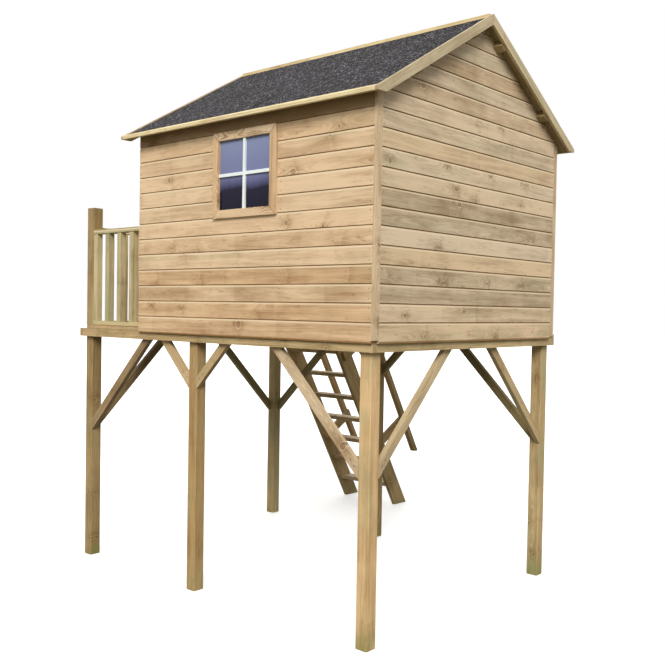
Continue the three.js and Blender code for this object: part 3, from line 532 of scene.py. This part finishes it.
def dress_walls():
    """Level boards outside, upright studs behind them, and corner battens on the plain gable."""
    joint = FIRST_JOINT * Z
    dress("wall_window_side", wood("window_wall", "wall", [
        board(X, Z, joint + WALL_OUT * Y, 3.0, BOARD_PITCH, LOWEST_BOARD),
        board(Z, X, joint + WALL_OUT * Y, 171.0, where=[(Y, WALL_OUT + WALL_BACK, FAR)]),
    ], seam_and_painted_shade=painted_eave_shade))
    dress("wall_rear", wood("rear_wall", "wall", [
        board(-X, Z, joint + REAR_OUT * Y, 301.0, BOARD_PITCH, LOWEST_BOARD),
        board(Z, -X, joint + REAR_OUT * Y, 472.0, where=[(Y, -FAR, REAR_OUT - WALL_BACK)]),
    ], seam_and_painted_shade=painted_eave_shade))
    out = gable_high.x
    dress("wall_plain_gable", wood("plain_gable", "gable", [
        board(Y, Z, joint + out * X, 611.0, BOARD_PITCH, LOWEST_BOARD, reach=GABLE_JOINT_REACH),
        board(Z, Y, out * X, 773.0, where=[(X, -FAR, out - WALL_BACK)]),
        board(Z, Y, out * X + gable_low.y * Y, 801.0, where=[(Y, -FAR, gable_low.y + CORNER_BATTEN)]),
        board(Z, Y, out * X + gable_high.y * Y, 855.0, where=[(Y, gable_high.y - CORNER_BATTEN, FAR)]),
    ], seam_and_painted_shade=painted_rake_shade))
    out = porch_low.x
    dress("wall_porch_gable", wood("porch_gable", "gable", [
        board(-Y, Z, joint + out * X, 911.0, BOARD_PITCH, LOWEST_BOARD, reach=GABLE_JOINT_REACH),
        board(Z, -Y, out * X, 973.0, where=[(X, out + WALL_BACK, FAR)]),
    ], seam_and_painted_shade=painted_rake_shade))


# Platform: posts, beams, braces, floors and railings, each timber with its own colour and stain; the darker
# posts and braces are partly painted shade of the platform above them
CORNER_POST = dict(light=(0.72, 0.510, 0.275), dark=(0.310, 0.185, 0.075))
BROWN_POST = dict(light=(0.43, 0.305, 0.150), dark=(0.180, 0.113, 0.043))
DARK_POST = dict(light=(0.39, 0.275, 0.132), dark=(0.162, 0.102, 0.039))
TAN_POST = dict(light=(0.57, 0.425, 0.225), dark=(0.250, 0.165, 0.070), green=0.8)
POSTS = {
    "post_front_corner": CORNER_POST, "post_front_middle": BROWN_POST, "post_rear_corner": TAN_POST,
    "post_rear_porch": TAN_POST,
}
BEAM = dict(light=(0.56, 0.430, 0.240), dark=(0.230, 0.155, 0.065))
PALE_BRACE = dict(light=(0.72, 0.580, 0.400), dark=(0.350, 0.240, 0.130))
GREY_BRACE = dict(light=(0.58, 0.470, 0.300), dark=(0.280, 0.205, 0.110), green=0.7)
TAN_BRACE = dict(light=(0.60, 0.440, 0.250), dark=(0.270, 0.165, 0.070))
OLIVE_BRACE = dict(light=(0.50, 0.380, 0.210), dark=(0.220, 0.150, 0.065))
BROWN_BRACE = dict(light=(0.37, 0.260, 0.145), dark=(0.150, 0.100, 0.048), green=0.3)
GREEN_BRACE = dict(light=(0.32, 0.250, 0.120), dark=(0.120, 0.095, 0.040), green=0.8)
BRACES = {
    "brace_front_corner_left": PALE_BRACE, "brace_front_corner_cross": GREY_BRACE,
    "brace_front_middle_left": TAN_BRACE, "brace_front_middle_right": TAN_BRACE,
    "brace_front_porch_right": BROWN_BRACE, "brace_front_porch_cross": BROWN_BRACE,
    "brace_rear_corner_cross": OLIVE_BRACE,
}
RAILING = dict(light=(0.56, 0.480, 0.285), dark=(0.230, 0.175, 0.080), green=0.9, knots=0.3)


def brace_run(name):
    """The level direction in which a brace rises from its post to its beam."""
    low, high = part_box(name)
    if high.x - low.x > high.y - low.y:
        return -X if name.endswith("left") else X
    return -Y if "_rear_" in name else Y


def deck_rows():
    """The deck's box and the pitch of its boards."""
    low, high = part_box("porch_deck")
    return low, high, (high.y - low.y + DECK_GAP) / DECK_BOARDS


def dress_platform():
    for i, name in enumerate(n for n in sorted(nodes) if n.startswith("post_")):
        changes = POSTS.get(name, DARK_POST)
        dress(name, wood(name, "frame", [board(Z, X, middle_of(name), 31.0 + 17.0 * i)], **changes))
    for i, name in enumerate(("beam_front", "beam_rear")):
        dress(name, wood(name, "frame", [board(X, Z, middle_of(name), 151.0 + 17.0 * i)], **BEAM))
    for i, name in enumerate(("beam_porch_end", "beam_gable_end")):
        dress(name, wood(name, "frame", [board(Y, Z, middle_of(name), 201.0 + 17.0 * i)], **BEAM))
    for i, name in enumerate(n for n in sorted(nodes) if n.startswith("brace_")):
        toward = brace_run(name)
        along, across = (toward + Z).normalized(), (Z - toward).normalized()
        grain = board(along, across, middle_of(name), 251.0 + 17.0 * i)
        dress(name, wood(name, "frame", [grain], **BRACES.get(name, GREEN_BRACE)))

    floor_low, floor_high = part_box("cabin_floor")
    joists = [(Z, -FAR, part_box("beam_front")[1].z + HAIR)]
    dress("cabin_floor", wood("cabin_floor", "deck", [
        board(X, Y, Vector((0, floor_low.y, floor_high.z)), 21.0, BOARD_PITCH),
        board(Y, Z, floor_low, 57.0, where=joists),
    ]))
    deck_low, deck_high, deck_pitch = deck_rows()
    dress("porch_deck", wood("porch_deck", "deck", [
        board(X, Y, Vector((0, deck_low.y - DECK_GAP / 2, deck_high.z)), 83.0, deck_pitch),
        board(Y, Z, deck_low, 95.0, where=joists),
    ]))

    # The front panel has a baluster at each end. The end panel's all stand between its ends.
    for name, run, seed in (("railing_front", X, 541.0), ("railing_end", Y, 571.0)):
        low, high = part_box(name)
        length = (high - low).dot(run)
        if run is X:
            spacing = (length - BALUSTER) / (FRONT_BALUSTERS - 1)
        else:
            spacing = (length + BALUSTER) / (END_BALUSTERS + 1)
        upright = [(Z, low.z + RAIL, high.z - RAIL)]
        dress(name, wood(name, "frame", [
            board(run, Z, low.lerp(high, 0.5), seed, WIDE_PITCH),
            board(Z, run, low - BALUSTER / 2 * run, seed + 11.0, spacing, where=upright),
        ], **RAILING))


# Ladder
SLOPE_DOWN = Vector((0, math.cos(LADDER_ANGLE), -math.sin(LADDER_ANGLE)))
SLOPE_OUT = Vector((0, math.sin(LADDER_ANGLE), math.cos(LADDER_ANGLE)))


def dress_ladder():
    """Grain down the stringers and rails, along the treads, and out along the struts."""
    for i, side in enumerate(("left", "right")):
        name = "ladder_stringer_" + side
        dress(name, wood(name, "frame", [board(SLOPE_DOWN, SLOPE_OUT, middle_of(name), 631.0 + 9.0 * i)]))
        name = "ladder_handrail_" + side
        low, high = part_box(name)
        rail_top = max(SLOPE_OUT.dot(v.co) for v in nodes[name].data.vertices)
        inner = (X, high.x - STRUT_SHOWN, FAR) if side == "left" else (X, -FAR, low.x + STRUT_SHOWN)
        below_rail = (SLOPE_OUT, -FAR, rail_top - HANDRAIL - HAIR)
        strut = (SLOPE_OUT, SLOPE_DOWN, middle_of(name), 683.0 + 9.0 * i)
        dress(name, wood(name, "frame", [
            board(SLOPE_DOWN, SLOPE_OUT, middle_of(name), 661.0 + 9.0 * i),
            board(*strut, where=[inner]),
            board(*strut, where=[below_rail]),
        ], knots=0.3))
    for i in range(1, TREADS + 1):
        name = f"ladder_tread_{i}"
        dress(name, wood(name, "deck", [board(X, Y, middle_of(name), 701.0 + 9.0 * i)]))


def dress_door():
    """The leaf's upright boards with level ledges behind, the trim with its head board, and the fittings."""
    leaf_low, leaf_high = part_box("door_leaf")
    board_width = (leaf_high.y - leaf_low.y) / DOOR_BOARDS
    dress("door_leaf", wood("door_leaf", "trim", [
        board(Z, Y, leaf_low, 721.0, board_width),
        board(Y, Z, leaf_low, 744.0, LEDGE_SPACING, where=[(X, leaf_low.x + WALL_BACK, FAR)]),
    ], tint=0.4, knots=0.4))
    trim_low, trim_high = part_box("door_trim")
    dress("door_trim", wood("door_trim", "trim", [
        board(Z, Y, trim_low, 751.0, WIDE_PITCH),
        board(Y, Z, trim_high, 767.0, where=[(Z, trim_high.z - DOOR_HEAD, FAR)]),
    ]))
    for name, along, across, seed in (("turn_button", Z, Y, 781.0), ("door_knob", X, Z, 787.0)):
        dress(name, wood(name, "trim", [board(along, across, middle_of(name), seed)], knots=0.0))


# Half of a mitre's dark line, and where it has faded out
MITRE_CORE = 0.0008
MITRE_EDGE = 0.0030


def dress_window():
    """Upright boards at the sides, level ones above and below, meeting on the diagonals."""
    name = "window_trim"
    low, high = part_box(name)
    center, half = (low + high) / 2, (high - low) / 2

    def past_diagonal(t, point):
        from_middle = t.split(t.vector("SUBTRACT", point, center))
        over_x = t.minus(t.absolute(from_middle[0]), half.x)
        over_z = t.minus(t.absolute(from_middle[2]), half.z)
        return t.minus(over_z, over_x)

    def level_boards(t, point):
        return t.math("GREATER_THAN", past_diagonal(t, point), 0.0)

    def mitres(t, point):
        return t.smooth(t.absolute(past_diagonal(t, point)), MITRE_CORE, MITRE_EDGE, 1.0, 0.0)

    dress(name, wood(name, "window", [
        board(Z, X, center, 811.0, half.x * 2),
        board(X, Z, center, 823.0, half.z * 2, where=level_boards),
    ], seam_and_painted_shade=mitres))


# Roof boards, bargeboards and battens
UP_FRONT = Vector((0, math.cos(ROOF_PITCH), math.sin(ROOF_PITCH)))
UP_REAR = Vector((0, -math.cos(ROOF_PITCH), math.sin(ROOF_PITCH)))
BARGEBOARD = dict(light=(0.62, 0.520, 0.350), dark=(0.300, 0.225, 0.125), green=0.6, knots=0.6)
PALE_BATTEN = dict(light=(0.86, 0.77, 0.49))


def dress_roof():
    for name, up, seed in (("roof_panel_front", UP_FRONT, 831.0), ("roof_panel_rear", UP_REAR, 862.0)):
        under = up.cross(X) if up is UP_REAR else X.cross(up)
        edge = Vector((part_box(name)[0].x, RIDGE_Y, gable_high.z))
        soffit = edge.dot(under)
        dress(name, wood(name, "roof", [
            board(up, X, edge, seed, BOARD_PITCH),
            board(X, up, edge, seed + 13.0, WIDE_PITCH, where=[(under, -FAR, soffit - 2 * HAIR)]),
        ]))
    for i, name in enumerate(("bargeboards_porch_end", "bargeboards_gable_end")):
        center = middle_of(name)
        dress(name, wood(name, "trim", [
            board(UP_FRONT, UP_FRONT.cross(X), center, 881.0 + 9.0 * i),
            board(UP_REAR, UP_REAR.cross(X), center, 893.0 + 9.0 * i, where=[(Y, center.y, FAR)]),
        ], **BARGEBOARD))
    for i, name in enumerate(("eave_batten_front", "eave_batten_rear", "ridge_batten")):
        dress(name, wood(name, "trim", [board(X, Z, middle_of(name), 931.0 + 9.0 * i)], **PALE_BATTEN))


# Felt: where along the ridge the lap of two sheets runs down the slopes, heights over the eave between which
# it closes, and how wide its shadow is where it gapes and where it is shut
FELT_LAP = 0.380
LAP_OPEN = 0.08
LAP_SHUT = 0.16
LAP_FADE = 0.01
OPEN_SHADOW = 0.0160
SHUT_SHADOW = 0.0030
GRANULES = 420.0
FLAKES = 150.0


def felt_material():
    """Mineral felt: dark bitumen under slate granules, light and dark, with a painted shadow along the lap
    of two sheets.
    """
    material, t, shader, point, _ = plain_material("mineral_felt")
    grains = t.cells(point, GRANULES)
    tone = t.split(grains["Color"])[0]
    flake = t.split(t.cells(t.scaled(point, (1.0, 0.65, 0.65)), FLAKES)["Color"])[0]
    clump = t.noise(point, scale=75.0, detail=3.0, roughness=0.65)
    cloud = t.noise(t.scaled(point, (3.0, 5.0, 5.0)), detail=4.0, roughness=0.6)
    value = t.plus(t.times(tone, 0.14), t.times(flake, 0.66), t.times(t.minus(clump, 0.40), 0.80))
    value = t.plus(value, t.swing(cloud, 0.20))
    levels = ((0.24, 0.007), (0.54, 0.021), (0.72, 0.060), (0.92, 0.340))
    stops = [(position, (level, level * 0.94, level * 1.06)) for position, level in levels]
    x, _, z = t.split(point)
    bow = t.swing(t.noise(point, scale=3.0), 0.012)
    from_lap = t.minus(t.plus(x, bow), FELT_LAP)
    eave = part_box("roof_felt")[0].z
    gape = t.smooth(z, eave + LAP_OPEN, eave + LAP_SHUT, OPEN_SHADOW, SHUT_SHADOW)
    lifted = t.smooth(z, eave + LAP_OPEN + LAP_FADE, eave + LAP_SHUT + LAP_FADE, 1.0, 0.45)
    # Painted shadow under the lifted edge of the lap, wide where it gapes near the eave
    lap_shadow = t.times(t.bell(from_lap, gape), lifted)
    color = t.blend(t.times(lap_shadow, 0.95), t.ramp(value, stops), rgba((0.002, 0.002, 0.002)))
    height = t.minus(t.smooth(from_lap, -0.001, 0.001, 0.0, 1.5), grains["Distance"])
    t.put(shader["Base Color"], color)
    t.put(shader["Roughness"], t.smooth(tone, 0.0, 1.0, 0.95, 0.8))
    t.put(shader["Normal"], t.bump(height, strength=0.8, distance=0.0012))
    t.put(shader["Specular IOR Level"], 0.08)
    return material


def pane_material():
    """Window pane: a painted reflection of pale sky above a dark line of hills, smooth, and a little open to
    the room.
    """
    material, t, shader, point, _ = plain_material("clear_pane")
    low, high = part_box("window_pane")
    height = t.minus(t.split(point)[2], low.z)
    # Painted reflection: a line of hills between pale sky above and dark ground below
    reflected_hills = t.noise(t.scaled(point, (6.0, 1.0, 1.0)), detail=3.0, roughness=0.55)
    level = t.plus(height, t.swing(reflected_hills, -0.10))
    stops = (
        (0.00, (0.012, 0.010, 0.022)), (0.29, (0.018, 0.016, 0.036)), (0.34, (0.065, 0.068, 0.150)),
        (0.48, (0.180, 0.195, 0.360)), (1.00, (0.250, 0.290, 0.470)),
    )
    t.put(shader["Base Color"], t.ramp(t.math("DIVIDE", level, high.z - low.z), stops))
    t.put(shader["Roughness"], t.smooth(t.noise(point, scale=9.0), 0.3, 0.7, 0.05, 0.12))
    t.put(shader["Specular IOR Level"], 0.12)
    t.put(shader["IOR"], 1.45)
    t.put(shader["Alpha"], 0.94)
    return material


def paint_material():
    """Off-white paint on the cross bars, with brush marks and a little wear."""
    material, t, shader, point, _ = plain_material("bar_paint")
    brush = t.noise(t.scaled(point, (60.0, 60.0, 9.0)), detail=3.0, roughness=0.6)
    wear = t.noise(point, scale=40.0, detail=4.0, roughness=0.6)
    color = t.blend(t.smooth(brush, 0.3, 0.7), rgba((0.72, 0.78, 0.77)), rgba((0.84, 0.90, 0.88)))
    color = t.blend(t.smooth(wear, 0.62, 0.80, 0.0, 0.5), color, rgba((0.50, 0.46, 0.38)))
    t.put(shader["Base Color"], color)
    t.put(shader["Roughness"], t.smooth(brush, 0.2, 0.8, 0.40, 0.55))
    t.put(shader["Normal"], t.bump(brush, strength=0.2, distance=0.0004))
    return material


CRYSTALS = 260.0


def steel_material():
    """Zinc-plated steel with its crystals, duller where it is handled."""
    material, t, shader, point, _ = plain_material("zinc_steel")
    tone = t.split(t.cells(point, CRYSTALS)["Color"])[0]
    dull = t.noise(point, scale=60.0, detail=4.0, roughness=0.6)
    color = t.blend(tone, rgba((0.38, 0.40, 0.42)), rgba((0.54, 0.56, 0.58)))
    color = t.blend(t.smooth(dull, 0.58, 0.78, 0.0, 0.6), color, rgba((0.24, 0.22, 0.20)))
    t.put(shader["Base Color"], color)
    t.put(shader["Roughness"], t.smooth(dull, 0.3, 0.8, 0.30, 0.58))
    t.put(shader["Metallic"], 0.9)
    return material


def speckled_material(name, scale, detail, dark, pale, rough, metallic=0.0):
    """Dark to pale specks, with the roughness following them."""
    material, t, shader, point, _ = plain_material(name)
    specks = t.noise(point, scale, detail, roughness=0.6)
    t.put(shader["Base Color"], t.blend(specks, rgba(dark), rgba(pale)))
    t.put(shader["Roughness"], t.smooth(specks, 0.2, 0.8, *rough))
    t.put(shader["Metallic"], metallic)
    return material


STEEL = steel_material()
NAIL = speckled_material(
    "dull_nail", 300.0, 3.0, (0.105, 0.070, 0.045), (0.200, 0.150, 0.110), (0.55, 0.80), metallic=0.3)
# Near-black painted shade in the screws' drive recesses, which are modelled only as a shallow dip
PAINTED_RECESS_SHADE = speckled_material(
    "screw_recess_shade", 500.0, 2.0, (0.018, 0.014, 0.010), (0.055, 0.042, 0.032), (0.70, 0.90))


def dress_others():
    dress("roof_felt", felt_material())
    dress("window_pane", pane_material())
    dress("window_bars", paint_material())
    for name in nodes:
        if name.startswith("hinge_"):
            dress(name, STEEL)


# Fasteners: nail heads and screw heads, each a low dome seated in the face. The shares are of the radius
HEAD_SIDES = 12
NAIL_RADIUS = 0.0024
SCREW_RADIUS = 0.0040
BUTTON_SCREW_RADIUS = 0.0063
HEAD_RISE = 0.0005
HEAD_SINK = 0.0006
BUTTON_SCREW_SINK = 0.0024
RIM_RISE = HEAD_RISE * 0.2
DOME_SHARE = 0.8
RECESS_RIM_SHARE = 0.45
RECESS_FLOOR_SHARE = 0.38


def heads(name, places, radius, recess=False, body="root", material=STEEL, sink=HEAD_SINK):
    """One object of many heads. A place is a point on a face with the face's outward direction."""
    rings = [(1.0, -sink), (1.0, RIM_RISE), (DOME_SHARE, HEAD_RISE)]
    if recess:
        rings += [(RECESS_RIM_SHARE, HEAD_RISE), (RECESS_FLOOR_SHARE, -HEAD_RISE)]
    mesh = bmesh.new()
    for point, outward in places:
        point, outward = Vector(point), Vector(outward).normalized()
        sideways = outward.orthogonal().normalized()
        other = outward.cross(sideways)
        previous = None
        for share, rise in rings:
            ring = []
            for i in range(HEAD_SIDES):
                angle = 2 * math.pi * i / HEAD_SIDES
                spoke = math.cos(angle) * sideways + math.sin(angle) * other
                ring.append(mesh.verts.new(point + spoke * radius * share + outward * rise))
            if previous:
                for i in range(HEAD_SIDES):
                    k = (i + 1) % HEAD_SIDES
                    face = mesh.faces.new((previous[i], previous[k], ring[k], ring[i]))
                    face.material_index = int(share == RECESS_FLOOR_SHARE)
            else:
                mesh.faces.new(list(reversed(ring)))
            previous = ring
        mesh.faces.new(previous).material_index = int(recess)
    data = bpy.data.meshes.new(name)
    mesh.to_mesh(data)
    mesh.free()
    data.materials.append(material)
    if recess:
        data.materials.append(PAINTED_RECESS_SHADE)
    item = bpy.data.objects.new(name, data)
    bpy.context.scene.collection.objects.link(item)
    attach(item, body)


def nails(name, places, body="root"):
    heads(name, places, NAIL_RADIUS, body=body, material=NAIL)


def screws(name, places, body="root", material=NAIL):
    heads(name, places, SCREW_RADIUS, recess=True, body=body, material=material)


# How far off a face the search for it starts, and how far it goes
SEARCH_FROM = 0.1
SEARCH_REACH = 0.15


def seated(node, points, outward):
    """The points moved along the outward direction onto the face of a node, with that direction."""
    item = nodes[node]
    corners = [item.matrix_world @ v.co for v in item.data.vertices]
    faces = BVHTree.FromPolygons(corners, [tuple(p.vertices) for p in item.data.polygons])
    places = []
    for point in points:
        hit = faces.ray_cast(Vector(point) + SEARCH_FROM * outward, -outward, SEARCH_REACH)[0]
        if hit is not None:
            places.append((hit, outward))
    return places


def steps(start, end, spacing):
    """Even places from start to end, about the spacing apart."""
    count = max(1, round((end - start) / spacing))
    return [start + (end - start) * i / count for i in range(count + 1)]


def roof_under(y):
    """Height of the roof boards' underside."""
    return gable_high.z - math.tan(ROOF_PITCH) * abs(y - RIDGE_Y)


# Wall nails: heights of the two in a board, least distance from the wall's top and bottom, and how far the
# columns stand from the walls' ends, the window's and the door's trim and the corner battens
IN_BOARD = (0.020, 0.068)
NAIL_MARGIN = 0.008
SLOPE_MARGIN = 0.020
FROM_FRONT_END = 0.016
FROM_END = 0.014
FROM_WINDOW = 0.024
FROM_DOOR = 0.020
FROM_BATTEN = 0.012


def board_rows(bottom, top):
    """Two nail heights in each wall board between two levels."""
    rows, low = [], FIRST_JOINT - BOARD_PITCH
    while low < top:
        rows += [low + z for z in IN_BOARD if bottom + NAIL_MARGIN < low + z < top - NAIL_MARGIN]
        low += BOARD_PITCH
    return rows


def nail_walls():
    trim_low, trim_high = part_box("window_trim")
    columns = (
        wall_low.x + FROM_FRONT_END, trim_low.x - FROM_WINDOW,
        trim_high.x + FROM_WINDOW, wall_high.x - FROM_FRONT_END,
    )
    rows = board_rows(wall_low.z, roof_under(WALL_OUT))
    nails("nails_window_wall", [((x, WALL_OUT, z), -Y) for x in columns for z in rows])

    columns = (rear_low.x + FROM_END, (rear_low.x + rear_high.x) / 2, rear_high.x - FROM_END)
    rows = board_rows(rear_low.z, roof_under(REAR_OUT))
    nails("nails_rear_wall", [((x, REAR_OUT, z), Y) for x in columns for z in rows])

    inset = CORNER_BATTEN + FROM_BATTEN
    places = []
    for y in (gable_low.y + inset, RIDGE_Y, gable_high.y - inset):
        for z in board_rows(gable_low.z, roof_under(y) - SLOPE_MARGIN):
            places.append(((gable_high.x, y, z), X))
    nails("nails_plain_gable", places)

    door_low, door_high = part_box("door_trim")
    columns = (
        porch_low.y + FROM_END, door_low.y - FROM_DOOR, RIDGE_Y,
        door_high.y + FROM_DOOR, porch_high.y - FROM_END,
    )
    places = []
    for y in columns:
        bottom = door_high.z if y == RIDGE_Y else porch_low.z
        for z in board_rows(bottom, roof_under(y) - SLOPE_MARGIN):
            places.append(((porch_low.x, y, z), -X))
    nails("nails_porch_gable", places)


# Platform and ladder screws: half of a brace's level and upright cuts, distances of its screws from both
# ends, the two joists' distances from the post, the screws' places in a deck board and from a tread's middle
BRACE_HALF_CUT = 0.034
BRACE_SCREWS = (0.034, 0.070)
JOISTS_FROM_POST = (0.014, 0.432)
IN_DECK_BOARD = (0.020, 0.074)
TREAD_SCREWS = (-0.030, 0.030)


def screw_platform():
    places = []
    for name in nodes:
        if not name.startswith("brace_"):
            continue
        low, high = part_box(name)
        toward = brace_run(name)
        if toward.x:
            outward = -Y if "_front_" in name else Y
        else:
            outward = -X if "_porch_" in name else X
        middle = (low + high) / 2
        half_length = abs((high - low).dot(toward)) / 2
        start = middle - toward * half_length
        start.z = low.z + BRACE_HALF_CUT
        end = middle + toward * (half_length - BRACE_HALF_CUT)
        end.z = high.z
        slope = (toward + Z).normalized()
        points = [start + slope * d for d in BRACE_SCREWS] + [end - slope * d for d in BRACE_SCREWS]
        places += seated(name, points, outward)
    screws("screws_braces", places)

    deck_low, deck_high, deck_pitch = deck_rows()
    post_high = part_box("post_front_porch")[1].x
    points = []
    for x in (post_high + d for d in JOISTS_FROM_POST):
        for i in range(DECK_BOARDS):
            low = deck_low.y + i * deck_pitch
            points += [(x, low + d, deck_high.z) for d in IN_DECK_BOARD]
    screws("screws_deck", seated("porch_deck", points, Z))


def screw_ladder():
    places = []
    for side, outward, end in (("left", -X, 0), ("right", X, 1)):
        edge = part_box("ladder_stringer_" + side)[end].x
        centers = [middle_of(f"ladder_tread_{i}") for i in range(1, TREADS + 1)]
        points = [(edge, center.y + d, center.z) for center in centers for d in TREAD_SCREWS]
        places += seated("ladder_stringer_" + side, points, outward)
    screws("screws_ladder", places)


# Trim nails: the middles of a trim board and of a bargeboard from their edges, where the rows start and end,
# how far apart the nails are, and the bargeboard nails' level distances from the ridge
TRIM_MIDDLE = 0.0215
WINDOW_NAILS_IN = 0.07
WINDOW_NAIL_SPACING = 0.17
DOOR_NAILS_UP = 0.08
DOOR_NAILS_DOWN = 0.12
DOOR_NAIL_SPACING = 0.35
LOWEST_BATTEN_NAIL = 1.56
HIGHEST_BATTEN_NAIL = 2.50
BATTEN_NAIL_SPACING = 0.235
BARGEBOARD_MIDDLE = 0.028
BARGEBOARD_NAILS = (0.05, 0.28, 0.51, 0.74, 0.92)


def nail_trims():
    low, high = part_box("window_trim")
    upright = steps(low.z + WINDOW_NAILS_IN, high.z - WINDOW_NAILS_IN, WINDOW_NAIL_SPACING)
    level = steps(low.x + WINDOW_NAILS_IN, high.x - WINDOW_NAILS_IN, WINDOW_NAIL_SPACING)
    points = [(x, low.y, z) for x in (low.x + TRIM_MIDDLE, high.x - TRIM_MIDDLE) for z in upright]
    points += [(x, low.y, z) for z in (low.z + TRIM_MIDDLE, high.z - TRIM_MIDDLE) for x in level]
    nails("nails_window_trim", seated("window_trim", points, -Y))

    low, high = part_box("door_trim")
    upright = steps(low.z + DOOR_NAILS_UP, high.z - DOOR_NAILS_DOWN, DOOR_NAIL_SPACING)
    points = [(low.x, y, z) for y in (low.y + TRIM_MIDDLE, high.y - TRIM_MIDDLE) for z in upright]
    nails("nails_door_trim", seated("door_trim", points, -X))

    middles = (gable_low.y + CORNER_BATTEN / 2, gable_high.y - CORNER_BATTEN / 2)
    upright = steps(LOWEST_BATTEN_NAIL, HIGHEST_BATTEN_NAIL, BATTEN_NAIL_SPACING)
    points = [(gable_high.x, y, z) for y in middles for z in upright]
    nails("nails_corner_battens", seated("wall_plain_gable", points, X))

    low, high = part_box("bargeboards_porch_end")
    points = []
    for side in (-1, 1):
        for d in BARGEBOARD_NAILS:
            height = high.z - math.tan(ROOF_PITCH) * d - BARGEBOARD_MIDDLE
            points.append((low.x, RIDGE_Y + side * d, height))
    nails("nails_bargeboards", seated("bargeboards_porch_end", points, -X))


# Door fasteners: heights of the nails in the three ledges, two rows each, the strap screws' places across
# the door, and the plate screws' place from the plate's edge and middle
LEDGE_NAILS = (1.5745, 1.6045, 2.0335, 2.0695, 2.5065, 2.5285)
STRAP_SCREWS = (-0.738, -0.655, -0.565)
PLATE_SCREW_IN = 0.014
PLATE_SCREWS = (-0.027, 0.027)


def screw_door():
    low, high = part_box("door_leaf")
    board_width = (high.y - low.y) / DOOR_BOARDS
    points = [(low.x, low.y + (i + 0.5) * board_width, z) for i in range(DOOR_BOARDS) for z in LEDGE_NAILS]
    nails("nails_door_leaf", seated("door_leaf", points, -X), body="door")

    on_door, on_trim = [], []
    for name in ("hinge_upper", "hinge_lower"):
        strap, plate = name + "_strap", name + "_plate"
        low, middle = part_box(strap)[0], middle_of(strap)
        on_door += seated(strap, [(low.x, y, middle.z) for y in STRAP_SCREWS], -X)
        low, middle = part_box(plate)[0], middle_of(plate)
        on_trim += seated(plate, [(low.x, low.y + PLATE_SCREW_IN, middle.z + d) for d in PLATE_SCREWS], -X)
    screws("screws_hinge_straps", on_door, body="door", material=STEEL)
    screws("screws_hinge_plates", on_trim, material=STEEL)

    pivot = middle_of("turn_button")
    pivot.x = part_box("door_trim")[0].x
    place = seated("door_trim", [pivot], -X)
    heads("screw_turn_button", place, BUTTON_SCREW_RADIUS, recess=True, sink=BUTTON_SCREW_SINK)


dress_walls()
dress_platform()
dress_ladder()
dress_door()
dress_window()
dress_roof()
dress_others()
nail_walls()
screw_platform()
screw_ladder()
nail_trims()
screw_door()

# Stage: a floor just under the feet that looks white but reflects a dim, greenish light like grass, an
# even world, and two soft suns as name, strength, spread in degrees, direction and colour
FLOOR_REACH = 60.0
FLOOR_DROP = 0.001
FLOOR_GLOW = 0.42
GRASS_LIGHT = rgba((0.11, 0.11, 0.07))
FLOOR_PAINT = rgba((0.86, 0.86, 0.86))
WHITE = rgba((1.0, 1.0, 1.0))
WORLD_LEVEL = 0.64
LAMPS = (
    ("key", 3.15, 30, Vector((0.48, -0.62, 0.50)), (1.0, 0.97, 0.92)),
    ("fill", 1.5, 50, Vector((-0.60, 0.62, 0.35)), (1.0, 0.98, 0.95)),
)
CLIP_END = 200.0


def floor():
    mesh = bmesh.new()
    bmesh.ops.create_grid(mesh, x_segments=2, y_segments=2, size=FLOOR_REACH)
    data = bpy.data.meshes.new("floor")
    mesh.to_mesh(data)
    mesh.free()
    item = bpy.data.objects.new("floor", data)
    item.location.z = -FLOOR_DROP
    bpy.context.scene.collection.objects.link(item)
    material = bpy.data.materials.new("pale_floor")
    material.use_nodes = True
    t = Tree(material.node_tree)
    seen = t.seen()
    shader = material.node_tree.nodes["Principled BSDF"].inputs
    t.put(shader["Base Color"], t.blend(seen, GRASS_LIGHT, FLOOR_PAINT))
    t.put(shader["Roughness"], 1.0)
    t.put(shader["Specular IOR Level"], 0.0)
    t.put(shader["Emission Color"], WHITE)
    t.put(shader["Emission Strength"], t.times(seen, FLOOR_GLOW))
    data.materials.append(material)


def light():
    world = bpy.data.worlds.new("studio")
    bpy.context.scene.world = world
    world.use_nodes = True
    t = Tree(world.node_tree)
    background = world.node_tree.nodes["Background"].inputs
    t.put(background["Color"], WHITE)
    t.put(background["Strength"], t.mix(t.seen(), WORLD_LEVEL, 1.0))
    for name, strength, spread, source, color in LAMPS:
        sun = bpy.data.lights.new(name, "SUN")
        sun.energy = strength
        sun.angle = math.radians(spread)
        sun.color = color
        item = bpy.data.objects.new(name, sun)
        item.rotation_euler = source.to_track_quat("Z", "Y").to_euler()
        bpy.context.scene.collection.objects.link(item)


def camera():
    data = bpy.data.cameras.new("camera")
    data.sensor_width = SENSOR
    data.lens = FOCAL_PIXELS / IMAGE_SIDE * SENSOR
    data.clip_end = CLIP_END
    item = bpy.data.objects.new("camera", data)
    item.location = CAMERA_PLACE
    item.rotation_euler = CAMERA_TURN
    bpy.context.scene.collection.objects.link(item)
    bpy.context.scene.camera = item


floor()
light()
camera()
bpy.context.scene.view_settings.view_transform = "Standard"
